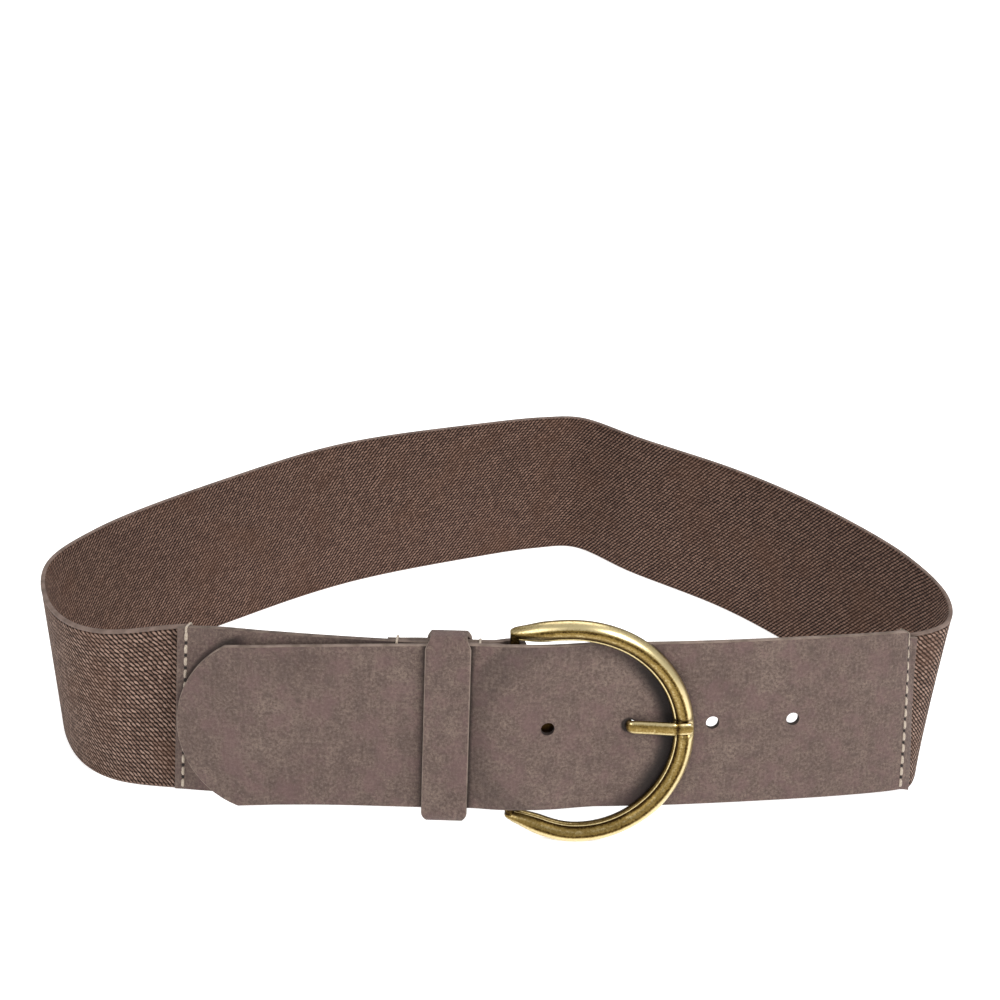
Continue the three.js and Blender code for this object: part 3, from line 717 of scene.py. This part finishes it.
def buckle_strap_leather():
    outer = STRAP_BACK + LEATHER_THICK / 2
    inner = LINING_FACE - LEATHER_THICK / 2
    bend = 3 * FOLD_RADIUS
    turn = np.linspace(math.pi / 2, -math.pi / 2, 40)
    path = np.vstack([
        np.linspace((-STRAP_LENGTH, outer), (-bend, outer), 60)[:-1],
        bezier([(-bend, outer), (-bend / 2, outer), (-bend / 2, BAR_HEIGHT + FOLD_RADIUS),
                (0, BAR_HEIGHT + FOLD_RADIUS)], 24)[:-1],
        np.c_[FOLD_RADIUS * np.cos(turn), BAR_HEIGHT + FOLD_RADIUS * np.sin(turn)][:-1],
        bezier([(0, BAR_HEIGHT - FOLD_RADIUS), (-bend / 2, BAR_HEIGHT - FOLD_RADIUS), (-bend / 2, inner),
                (-bend, inner)], 24)[:-1],
        np.linspace((-bend, inner), (-FOLD_LENGTH, inner), 20),
    ])
    spots, line, slope, length = resample(path, 1.2)
    shares = across_shares(LEATHER_WIDTH / 2)
    X = shares[None] * LEATHER_WIDTH / 2 + 0 * spots[:, None]
    S = spots[:, None] + 0 * X
    along = line[:, :1] + 0 * X
    middle = strap_middle(along)
    depth = np.minimum(LEATHER_WIDTH / 2 - np.abs(X), np.minimum(S, length - S))
    centre = np.stack([along, middle + X, line[:, 1:] + 0 * X], -1)
    normal = np.stack([-slope[:, 1:] + 0 * X, 0 * X, slope[:, :1] + 0 * X], -1)
    thick = LEATHER_THICK * lerp(0.3, 1, smoothstep(length - S, 0, 16))
    centre += normal * ((LEATHER_THICK - thick) / -2)[..., None]
    flat = np.stack([S + FLAT_START, middle + X], -1)
    piece = slab("buckle_strap_leather", centre, normal, depth, thick, 0.7, flat,
                 [LEATHER_LEFT, SHADED_STRAP_EDGE, LEATHER_BACK])
    cutter = slot_cutter("strap_slot", 0, MID_WIDTH, 2 * FOLD_SLOT_REACH, PRONG_BASE_WIDTH + 4 * CLEARANCE,
                         BAR_HEIGHT, 2 * (FOLD_RADIUS + LEATHER_THICK))
    cut(piece, [cutter])
    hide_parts("buckle_strap")
    return piece


# A cutter through the leather: a slot with round ends, drawn on the band's surface. Its faces give the cut
# walls a near-black painted shade.
def slot_cutter(name, at, up, length, width, outward, reach, steps=14):
    radius = width / 2
    straight = max(length / 2 - radius, 0)
    turn = np.linspace(-math.pi / 2, math.pi / 2, steps)
    outline = np.vstack([
        np.c_[straight + radius * np.cos(turn), radius * np.sin(turn)],
        np.c_[-straight - radius * np.cos(turn), -radius * np.sin(turn)],
    ])
    if straight == 0:
        circle = np.linspace(0, 2 * math.pi, 2 * steps, endpoint=False)
        outline = np.c_[radius * np.cos(circle), radius * np.sin(circle)]
    count = len(outline)
    layers = [place(at + outline[:, 0], up + outline[:, 1], outward + sign * reach) for sign in (-1, 1)]
    faces = [[i, (i + 1) % count, count + (i + 1) % count, count + i] for i in range(count)]
    faces += [list(range(count))[::-1], list(range(count, 2 * count))]
    mesh = bpy.data.meshes.new(name)
    mesh.from_pydata(np.vstack(layers).tolist(), [], faces)
    mesh.uv_layers.new(name="flat")
    face_outward(mesh)
    mesh.materials.append(SHADED_HOLE_WALL)
    return put(name, mesh)


def cut(piece, cutters):
    for cutter in cutters:
        modifier = piece.modifiers.new("cut", "BOOLEAN")
        modifier.operation = "DIFFERENCE"
        modifier.solver = "EXACT"
        modifier.material_mode = "TRANSFER"
        modifier.object = cutter
    graph = bpy.context.evaluated_depsgraph_get()
    mesh = bpy.data.meshes.new_from_object(piece.evaluated_get(graph))
    piece.modifiers.clear()
    piece.data = mesh
    for cutter in cutters:
        bpy.data.objects.remove(cutter)


# Right strap with its tongue

def billet_back(along):
    over_strap = lerp(BILLET_BACK_AT_TONGUE, BILLET_BACK_AT_BAR,
                      smoothstep(along, -5 * FOLD_RADIUS, -0.5 * FOLD_RADIUS))
    descent = smoothstep(along, FOLD_RADIUS, 0.85 * FRAME_RISE_LENGTH)
    stand_off = TONGUE_STAND_OFF * smoothstep(-np.asarray(along), TONGUE_LENGTH / 2, TONGUE_LENGTH)
    return over_strap + descent * (BILLET_BACK_AT_FRAME - BILLET_BACK_AT_BAR) + stand_off


def billet_middle(along):
    along = np.asarray(along)
    rise = STRAP_RISE_AT_BAR * np.exp(-((along - 2) / STRAP_RISE_REACH) ** 2)
    return LEATHER_WIDTH / 2 - TONGUE_SAG * (np.maximum(0, -along) / TONGUE_LENGTH) ** 2 + rise


def billet_half_width(along):
    return lerp(TONGUE_WIDTH, LEATHER_WIDTH, smoothstep(along, TONGUE_ROUND - TONGUE_LENGTH, 0)) / 2


# The tongue isn't cut square to the strap: how far a point at this height from the middle moves along it.
def billet_skew(along, height):
    at_tongue = smoothstep(-along, TONGUE_LENGTH / 3, TONGUE_LENGTH)
    return -TONGUE_SKEW * at_tongue * height / (LEATHER_WIDTH / 2)


def billet_leather():
    half_tongue = TONGUE_WIDTH / 2
    radius = (TONGUE_ROUND ** 2 + half_tongue ** 2) / (2 * TONGUE_ROUND)
    arc_centre = radius - TONGUE_LENGTH
    arc_end = math.atan2(half_tongue, radius - TONGUE_ROUND)
    angles = arc_end * np.r_[0, np.linspace(0.03, 1, 44)]
    arc_along = arc_centre - radius * np.cos(angles)
    straight = along_steps(arc_along[-1], BILLET_LENGTH, ease_start=False)[1:]
    along = np.r_[arc_along, straight]
    half = np.r_[radius * np.sin(angles), billet_half_width(straight)]
    shares = across_shares(LEATHER_WIDTH / 2)
    X = shares[None] * half[:, None]
    A = along[:, None] + 0 * X
    side_depth = half[:, None] - np.abs(X)
    arc_depth = radius - np.hypot(A - arc_centre, X)
    depth = np.where(A <= arc_along[-1], arc_depth, side_depth)
    depth = np.clip(np.minimum(depth, BILLET_LENGTH - A), 0, None)
    up = billet_middle(A) + X
    ramp = smoothstep(A, BILLET_LENGTH - SEAM_SKEW_REACH, BILLET_LENGTH)
    shifted = A + seam_offset(up) * ramp + billet_skew(A, X)
    outward = billet_back(A) + LEATHER_THICK / 2 + ripple(A, up, 0.06)
    centre = np.stack([shifted, up, outward], -1)
    normal = np.zeros_like(centre)
    normal[..., 2] = 1
    flat = np.stack([A, up], -1)
    piece = slab("billet_leather", centre, normal, depth, LEATHER_THICK, 0.7, flat,
                 [LEATHER_RIGHT, LEATHER_EDGE, LEATHER_BACK], (0.5, 0.36))
    cutters = []
    for index in range(-HOLES_EACH_SIDE, HOLES_EACH_SIDE + 1):
        middle = PRONG_HOLE_AT + HOLE_SHIFT + index * HOLE_PITCH
        if index == 0:
            middle = PRONG_RISE + 3 * CLEARANCE
        width = PRONG_NECK_WIDTH + 2 * CLEARANCE if index == 0 else VISIBLE_HOLE
        cutters.append(slot_cutter("hole_cutter", middle, MID_WIDTH, width, width,
                                   float(billet_back(middle)) + LEATHER_THICK / 2, 2 * LEATHER_THICK))
    cut(piece, cutters)
    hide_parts("billet_strap")
    return piece


# Keeper

def keeper_leather():
    low = float(billet_middle(KEEPER_AT)) - LEATHER_WIDTH / 2 - KEEPER_SLACK_BELOW
    high = LEATHER_WIDTH + KEEPER_SLACK_ABOVE
    back = LINING_BACK - 2 * CLEARANCE
    reach = KEEPER_WIDTH / 2
    ends = [float(billet_back(KEEPER_AT + reach)), float(billet_back(KEEPER_AT - reach))]
    face = max(ends) + LEATHER_THICK + 2 * CLEARANCE
    grow = KEEPER_THICK / 2
    corner = KEEPER_ROUND - grow
    left, right, bottom, top = low - grow, high + grow, back - grow, face + grow
    corners = [
        (right - corner, bottom + corner, -math.pi / 2, 0),
        (right - corner, top - corner, 0, math.pi / 2),
        (left + corner, top - corner, math.pi / 2, math.pi),
        (left + corner, bottom + corner, math.pi, 1.5 * math.pi),
    ]
    line = []
    for x, y, start, end in corners:
        turn = np.linspace(start, end, 12)
        line.append(np.c_[x + corner * np.cos(turn), y + corner * np.sin(turn)])
    line = np.vstack(line)
    line = np.vstack([line, line[:1]])
    line, lengths = without_doubles(line)
    spots = np.linspace(0, lengths[-1], 180, endpoint=False)
    middle = points_at(spots, lengths, line)
    slope = unit(np.roll(middle, -1, 0) - np.roll(middle, 1, 0))
    shares = across_shares(reach, 1.8)
    half_height = (right - left) / 2
    turning = smoothstep(np.abs(middle[:, :1] - (left + right) / 2), half_height - 3.6, half_height + 0.6)
    X = shares[None] * reach * (1 - 0.2 * turning)
    depth = reach * (1 - 0.2 * turning) - np.abs(X)
    centre = np.stack([KEEPER_AT + X, middle[:, :1] + 0 * X, middle[:, 1:] + 0 * X], -1)
    normal = np.stack([0 * X, slope[:, 1:] + 0 * X, -slope[:, :1] + 0 * X], -1)
    flat = np.stack([spots[:, None] + 0 * X, X + KEEPER_FLAT_START], -1)
    piece = slab("keeper_leather", centre, normal, depth, KEEPER_THICK, 0.7, flat,
                 [LEATHER, LEATHER_EDGE, LEATHER_BACK], closed=True)
    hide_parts("keeper_loop")
    return piece


# Buckle

def frame_back(along):
    rise = np.clip(np.asarray(along) / FRAME_RISE_LENGTH, 0, 1)
    return lerp(FRAME_BACK_AT_BAR, FRAME_BACK, 1 - (1 - rise) ** 2)


# Section of the frame: share of its half width, share of its thickness, and how bright it is there: partly
# how worn and tarnished, partly painted highlights and reflection bands.
FRAME_PROFILE = [
    (-0.86, 0.00, 0.3), (-0.40, 0.00, 0.4), (0.0, 0.00, 0.4), (0.40, 0.00, 0.4), (0.86, 0.00, 0.3),
    (0.95, 0.03, 0.3), (1.00, 0.12, 0.4), (1.00, 0.32, 0.55), (0.98, 0.45, 0.8), (0.93, 0.54, 0.85),
    (0.84, 0.64, 0.9), (0.70, 0.78, 1.0), (0.54, 0.89, 1.0), (0.38, 0.96, 0.85), (0.26, 0.99, 0.35),
    (0.16, 1.00, 0.2), (0.02, 0.99, 0.4), (-0.14, 0.96, 0.55), (-0.32, 0.89, 0.65), (-0.48, 0.80, 0.5),
    (-0.60, 0.70, 0.25), (-0.68, 0.61, 0.05), (-0.73, 0.575, 0.1), (-0.79, 0.60, 0.85), (-0.86, 0.61, 0.9),
    (-0.92, 0.57, 0.3), (-0.97, 0.50, 0.75), (-1.00, 0.38, 0.4), (-1.00, 0.12, 0.2), (-0.95, 0.03, 0.2),
]


# A tube through rings of points. The last argument gives each point's brightness, for brass: partly how worn
# and tarnished it is, partly painted highlights, reflection bands and shade.
def tube_mesh(name, rings, materials, sharp_angle=40, wear_and_painted_light=None):
    count, size = rings.shape[:2]
    faces = []
    for ring in range(count - 1):
        for spot in range(size):
            after = (spot + 1) % size
            faces.append([ring * size + spot, ring * size + after, (ring + 1) * size + after,
                          (ring + 1) * size + spot])
    faces.append(list(range(size))[::-1])
    faces.append([(count - 1) * size + spot for spot in range(size)])
    mesh = bpy.data.meshes.new(name)
    mesh.from_pydata(rings.reshape(-1, 3).tolist(), [], faces)
    mesh.polygons.foreach_set("use_smooth", np.ones(len(faces), bool))
    if wear_and_painted_light is not None:
        values = np.broadcast_to(wear_and_painted_light, (count, size)).ravel()
        layer = mesh.uv_layers.new(name="flat")
        corners = np.concatenate([np.array(face) for face in faces])
        layer.data.foreach_set("uv", np.c_[corners * 0.0, values[corners]].ravel().astype(np.float32))
    face_outward(mesh)
    return finish_mesh(mesh, name, materials, sharp_angle)


def join(name, pieces):
    with bpy.context.temp_override(active_object=pieces[0], selected_editable_objects=pieces):
        bpy.ops.object.join()
    pieces[0].name = name
    return pieces[0]


def brass_frame():
    turn = np.linspace(math.pi / 2, -math.pi / 2, 200)
    upper_foot = FOOT_TOP - FRAME_MIDDLE
    lower_foot = FOOT_BOTTOM - FRAME_MIDDLE - CLEARANCE
    arms = [bezier([(-FOOT_REACH, foot), (0.35 * FRAME_CENTRE, lerp(foot, sign * FRAME_RADIUS, 0.2)),
                    (0.6 * FRAME_CENTRE, sign * FRAME_RADIUS), (FRAME_CENTRE, sign * FRAME_RADIUS)], 80)
            for foot, sign in ((upper_foot, 1), (lower_foot, -1))]
    arc = np.c_[FRAME_CENTRE + FRAME_RADIUS * np.cos(turn), FRAME_RADIUS * np.sin(turn)]
    path = np.vstack([arms[0][:-1], arc, arms[1][::-1][1:]])
    lengths = lengths_along(path)
    length = lengths[-1]
    nose = length / 2 - np.array([0, 0.2, 0.5, 0.9, 1.4, 2.0, 2.8, 3.8, 5.0])
    body = np.linspace(-nose[-1], nose[-1], 240)
    spots = length / 2 + np.r_[-nose[:-1], body, nose[:-1][::-1]]
    line = points_at(spots, lengths, path)
    slope = unit(points_at(spots, lengths, np.gradient(path, lengths, axis=0)))
    x, y = line.T
    taper = smoothstep(x, -FOOT_REACH, FOOT_TAPER)
    size = lerp(FOOT_SECTION / FRAME_SECTION, 1, taper)
    depth = lerp(0.8, 1, taper)
    tip = np.clip(np.minimum(spots, length - spots) / 5.0, 0, 1)
    round_tip = np.sqrt(1 - (1 - tip) ** 2)
    size = size * lerp(0.25, 1, round_tip)
    depth = depth * lerp(0.4, 1, round_tip)
    notch = np.exp(-((y - (MID_WIDTH - FRAME_MIDDLE)) / FRAME_NOTCH_REACH) ** 4)
    notch *= smoothstep(x, FRAME_CENTRE, FRAME_REACH)
    depth = depth * (1 - FRAME_NOTCH / FRAME_THICK * notch)
    size = size * FRAME_FULLNESS
    profile = np.array(FRAME_PROFILE)
    px = profile[:, 0][None] * FRAME_SECTION / 2
    py = profile[:, 1][None] * FRAME_THICK
    along = x[:, None] - slope[:, 1:] * px * size[:, None]
    up = FRAME_MIDDLE + y[:, None] + slope[:, :1] * px * size[:, None]
    outward = frame_back(x)[:, None] + py * depth[:, None]
    plain_foot = 1 - smoothstep(x, 0, FOOT_TAPER)[:, None]
    wear_and_painted_light = lerp(profile[:, 2][None], 0.62, 0.7 * plain_foot)
    ring = tube_mesh("brass_ring", place(along, up, outward), [BRASS], 50, wear_and_painted_light)
    turn = np.linspace(0, 2 * math.pi, 24, endpoint=False)
    heights = np.linspace(FOOT_BOTTOM, FOOT_TOP, 12)[:, None]
    radius = BAR_DIAMETER / 2
    rings = place(radius * np.cos(turn)[None], heights, BAR_HEIGHT + radius * np.sin(turn)[None])
    bar = tube_mesh("brass_bar", rings, [BRASS], 40, 0.2)
    piece = join("brass_frame", [ring, bar])
    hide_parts("buckle_frame")
    return piece


# A smooth line through points, by Catmull-Rom pieces.
def spline(points, steps=12):
    points = np.array(points, float)
    padded = np.vstack([2 * points[0] - points[1], points, 2 * points[-1] - points[-2]])
    share = np.linspace(0, 1, steps, endpoint=False)[:, None]
    pieces = []
    for index in range(len(points) - 1):
        before, start, end, after = padded[index:index + 4]
        pieces.append(cubic(start, end, (end - before) / 2, (after - start) / 2, share))
    return np.vstack(pieces + [points[-1:]])


def brass_prong():
    ring_radius = BAR_DIAMETER / 2 + CLEARANCE + PRONG_THICK / 2
    front = BILLET_BACK_AT_FRAME + LEATHER_THICK + 4 * CLEARANCE + PRONG_THICK / 2
    on_frame = FRAME_BACK + FRAME_THICK - FRAME_NOTCH + CLEARANCE + PRONG_TIP_THICK / 2
    ridge = FRAME_REACH - FRAME_SECTION / 2
    inner = FRAME_REACH - FRAME_SECTION

    def behind(along):
        return float(billet_back(along)) - 2 * CLEARANCE - PRONG_THICK / 2

    turn = np.linspace(-math.pi / 6, -1.5 * math.pi, 50)
    hook = np.c_[ring_radius * np.cos(turn), BAR_HEIGHT + ring_radius * np.sin(turn)]
    climb = [(share * PRONG_RISE, behind(share * PRONG_RISE)) for share in (0.25, 0.5, 0.75)]
    base = spline([hook[-1]] + climb + [(PRONG_RISE - PRONG_BEND, behind(PRONG_RISE))])
    low = behind(PRONG_RISE) + PRONG_BEND
    high = front - PRONG_BEND
    bend = np.linspace(-math.pi / 2, 0, 10)
    up_turn = np.c_[PRONG_RISE - PRONG_BEND + PRONG_BEND * np.cos(bend), low + PRONG_BEND * np.sin(bend)]
    bend = np.linspace(math.pi, math.pi / 2, 14)
    over_turn = np.c_[PRONG_RISE + PRONG_BEND + PRONG_BEND * np.cos(bend), high + PRONG_BEND * np.sin(bend)]
    front_run = spline([
        over_turn[-1],
        (lerp(PRONG_RISE, inner, 0.5), lerp(front, on_frame, 0.45)),
        (lerp(PRONG_RISE, inner, 0.9), on_frame),
        (ridge, on_frame + CLEARANCE),
        (PRONG_LENGTH, on_frame),
    ])
    path = np.vstack([hook[:-1], base[:-1], up_turn, over_turn[:-1], front_run])
    path, lengths = without_doubles(path)
    nose_steps = np.array([1.5, 1.0, 0.6, 0.3, 0.1, 0])
    spots = np.r_[np.linspace(0, lengths[-1] - 2, 220), lengths[-1] - nose_steps]
    line = points_at(spots, lengths, path)
    slope = unit(points_at(spots, lengths, np.gradient(path, lengths, axis=0)))
    x = line[:, 0]
    turn_start = len(hook) + len(base)
    in_front = smoothstep(spots, lengths[turn_start - 3], lengths[turn_start + 22])
    on_ring = smoothstep(x, inner - 1.0, inner + 0.6) * in_front
    nose = np.clip((lengths[-1] - spots) / 1.8, 0, 1)
    round_end = np.sqrt(np.clip(1 - (1 - nose) ** 2, 0.04, 1))
    narrowing = smoothstep(x, 0.7 * PRONG_RISE, PRONG_RISE - PRONG_BEND)
    base_width = lerp(PRONG_BASE_WIDTH, PRONG_NECK_WIDTH, narrowing)
    wide = lerp(base_width, PRONG_VISIBLE_WIDTH, in_front) / 2
    wide = wide * lerp(1, 0.94, on_ring) * lerp(0.6, 1, round_end)
    wide *= 1 - 0.10 * (1 - smoothstep(x, PRONG_RISE - 1.2, PRONG_RISE + 3)) * in_front
    thick = lerp(PRONG_THICK, PRONG_TIP_THICK, on_ring) / 2 * lerp(0.5, 1, round_end)
    # Section of the prong: share of its half width, share of its half thickness, and how bright it is there:
    # partly how worn, partly painted highlights.
    section = np.array([
        (-0.8, -1, 0.2), (0.8, -1, 0.2), (0.94, -0.88, 0.2), (1, -0.6, 0.3), (1, -0.05, 0.7),
        (0.94, 0.3, 1.0), (0.8, 0.62, 1.0), (0.62, 0.8, 0.75), (0.4, 0.93, 0.4), (0.16, 1, 0.45),
        (-0.16, 1, 0.55),
        (-0.42, 0.92, 0.55), (-0.64, 0.78, 0.8), (-0.82, 0.6, 1.0), (-0.95, 0.28, 0.85), (-1, -0.05, 0.5),
        (-1, -0.6, 0.25), (-0.94, -0.88, 0.2),
    ])
    across = section[:, 0][None] * wide[:, None]
    raise_by = section[:, 1][None] * thick[:, None]
    along = x[:, None] - slope[:, 1:] * raise_by
    outward = line[:, 1:] + slope[:, :1] * raise_by
    dark_step = np.exp(-((x - inner - 0.6) / 0.9) ** 2) * in_front
    wear_and_painted_light = section[:, 2][None] * (1 - 0.75 * dark_step[:, None])
    # Behind the leather the prong takes the darkest brass colour: painted shade, so that it looks dark
    # through the hole.
    wear_and_painted_light = lerp(0.05, wear_and_painted_light, in_front[:, None])
    piece = tube_mesh("brass_prong", place(along, MID_WIDTH + across, outward), [BRASS], 50, wear_and_painted_light)
    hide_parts("buckle_prong")
    return piece


# Stitches: short plump threads on the surface, with a dark mark between each two: painted shade for the
# needle hole.

def capsule(start, end, lift, width, height, sides=10):
    share = np.linspace(0, 1, 9)
    swell = np.sqrt(np.clip(1 - np.abs(2 * share - 1) ** 3.2, 0.02, 1))
    sink = lift - height * 0.9 * np.abs(2 * share - 1) ** 4
    turn = np.linspace(0, 2 * math.pi, sides, endpoint=False)
    start = np.array(start, float)
    end = np.array(end, float)
    axis = (end - start) / np.linalg.norm(end - start)
    side = np.array([-axis[1], axis[0]])
    middle = start[None] + (end - start)[None] * share[:, None]
    offset = np.cos(turn)[None] * swell[:, None] * width / 2
    along = middle[:, :1] + side[0] * offset
    up = middle[:, 1:] + side[1] * offset
    outward = sink[:, None] + np.sin(turn)[None] * swell[:, None] * height / 2
    return along, up, outward


def stitch_row(name, offset_at, low, high, face, sign=1):
    threads = []
    holes = []
    count = int((high - low) // STITCH_PITCH)
    pitch = (high - low) / count
    for index in range(count):
        bottom = low + index * pitch
        start, end = [(offset_at(up), up) for up in (bottom + 0.55, bottom + pitch - 0.55)]
        thread = capsule(start, end, face + sign * 0.15, THREAD_WIDTH, 0.9)
        threads.append(tube_mesh("thread", place(*thread), [THREAD]))
        if index:
            ends = [(offset_at(bottom) + side * 0.8, bottom) for side in (-1, 1)]
            hole = capsule(*ends, face + sign * 0.02, 1.2, 0.22)
            holes.append(tube_mesh("hole", place(*hole), [NEEDLE_HOLE_SHADE]))
    threads = join(name, threads)
    return [threads, join(name + "_holes", holes)]


# The last stitch of a row goes over the top edge, from the front face to the back face.
def edge_stitch(name, at, top, face, back):
    line = spline([
        (top - 2.6, face + 0.1), (top - 0.6, face + 0.3), (top + 0.12, face - 0.4),
        (top + 0.15, (face + back) / 2),
        (top + 0.12, back + 0.4), (top - 0.6, back - 0.3), (top - 2.6, back - 0.1),
    ], 8)
    slope = unit(np.gradient(line, axis=0))
    turn = np.linspace(0, 2 * math.pi, 10, endpoint=False)
    ends = np.minimum(np.arange(len(line)), np.arange(len(line))[::-1]) / 4
    swell = np.sqrt(np.clip(1 - (1 - np.clip(ends, 0, 1)) ** 2, 0.05, 1))[:, None]
    lift = 0.3 * np.sin(turn)[None] * swell
    along = at + EDGE_THREAD_WIDTH / 2 * np.cos(turn)[None] * swell
    rings = place(along, line[:, :1] - slope[:, 1:] * lift, line[:, 1:] + slope[:, :1] * lift)
    piece = tube_mesh(name, rings, [THREAD])
    return piece


def stitches():
    def left_line(up):
        return LEFT_SEAM_AT

    def right_line(up):
        return lerp(RIGHT_SEAM_BOTTOM_AT, RIGHT_SEAM_TOP_AT, up / LEATHER_WIDTH)

    inside = -ELASTIC_THICK / 2
    pieces = []
    for suffix, face, sign in (("", STRAP_FACE, 1), ("_inside", inside, -1)):
        pieces += stitch_row("left_seam" + suffix, left_line, *LEFT_SEAM_HEIGHTS, face, sign)
        pieces += stitch_row("right_seam" + suffix, right_line, *RIGHT_SEAM_HEIGHTS, face, sign)
    pieces.append(edge_stitch("left_seam_end", LEFT_SEAM_AT, BAND_WIDTH, STRAP_FACE, inside))
    pieces.append(edge_stitch("right_seam_end", RIGHT_SEAM_TOP_AT, LEATHER_WIDTH, STRAP_FACE, inside))
    for name, at in FOLD_ROWS.items():
        top = float(strap_middle(at)) + LEATHER_WIDTH / 2
        pieces.append(edge_stitch(name, at, top, STRAP_FACE, LINING_BACK))
        pieces += stitch_row(name + "_inside", lambda up, at=at: at, 0.8, top - 2.8, LINING_BACK, -1)
    return pieces


def build():
    pieces = [buckle_strap_leather(), billet_leather(), keeper_leather(), brass_frame(), brass_prong()]
    pieces.append(elastic_web())
    pieces += stitches()
    for piece in pieces:
        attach(piece, "root")


# Camera, floor and lights

def look(position, pitch, yaw, roll, focal):
    ahead = np.array([math.sin(yaw), math.cos(yaw), 0])
    right = np.array([math.cos(yaw), -math.sin(yaw), 0])
    rise = np.array([0, 0, 1])
    forward = ahead * math.cos(pitch) - rise * math.sin(pitch)
    top = ahead * math.sin(pitch) + rise * math.cos(pitch)
    turned_right = right * math.cos(roll) + top * math.sin(roll)
    turned_top = top * math.cos(roll) - right * math.sin(roll)
    axes = Matrix((turned_right, turned_top, -forward)).transposed().to_4x4()
    camera_data = bpy.data.cameras.new("camera")
    camera_data.sensor_width = 36
    camera_data.lens = 36 * focal
    camera_data.clip_start = 0.01
    camera_data.clip_end = 20
    camera = put("camera", camera_data)
    camera.matrix_world = Matrix.Translation(Vector(position)) @ axes
    bpy.context.scene.camera = camera


def softbox(name, position, target, size, power):
    data = bpy.data.lights.new(name, "AREA")
    data.shape = "RECTANGLE"
    data.size, data.size_y = size
    data.energy = power
    light = put(name, data)
    direction = Vector(target) - Vector(position)
    light.rotation_euler = direction.to_track_quat("-Z", "Y").to_euler()
    light.location = position


def studio():
    mesh = bpy.data.meshes.new("floor")
    corners = [(6 * x, 6 * y, 0) for x, y in ((-1, -1), (1, -1), (1, 1), (-1, 1))]
    mesh.from_pydata(corners, [], [[0, 1, 2, 3]])
    n = Nodes("floor_paper")
    grain = n.noise(n.object_space(), 400, 2)
    paper = n.mix(n.ramp(grain, 0.3, 0.7), tone(250, 250, 250), tone(252, 252, 252))
    n.feed(n.shader.inputs["Base Color"], paper)
    n.shader.inputs["Roughness"].default_value = 1.0
    n.shader.inputs["Specular IOR Level"].default_value = 0.0
    n.shader.inputs["Emission Color"].default_value = (1, 1, 1, 1)
    n.shader.inputs["Emission Strength"].default_value = 0.5
    mesh.materials.append(n.material)
    put("floor", mesh)
    world = bpy.data.worlds.new("studio")
    world.use_nodes = True
    world.node_tree.nodes["Background"].inputs["Color"].default_value = (1, 1, 1, 1)
    world.node_tree.nodes["Background"].inputs["Strength"].default_value = 0.55
    bpy.context.scene.world = world
    softbox("key", (1.3, -1.2, 1.5), (0, -0.1, 0.03), (0.7, 0.7), 34)
    softbox("fill", (-1.2, -1.2, 1.1), (0, 0, 0.04), (1.2, 1.0), 12)
    softbox("top", (0.1, 0.6, 1.8), (0, 0.05, 0.0), (1.6, 1.2), 14)
    bpy.context.scene.view_settings.view_transform = "Standard"
    bpy.context.scene.view_settings.look = "None"


build()
look((np.array(CAMERA_ON_ROUTE) + ROUTE_SHIFT) / 1000, CAMERA_PITCH, CAMERA_YAW, CAMERA_ROLL, CAMERA_FOCAL)
studio()
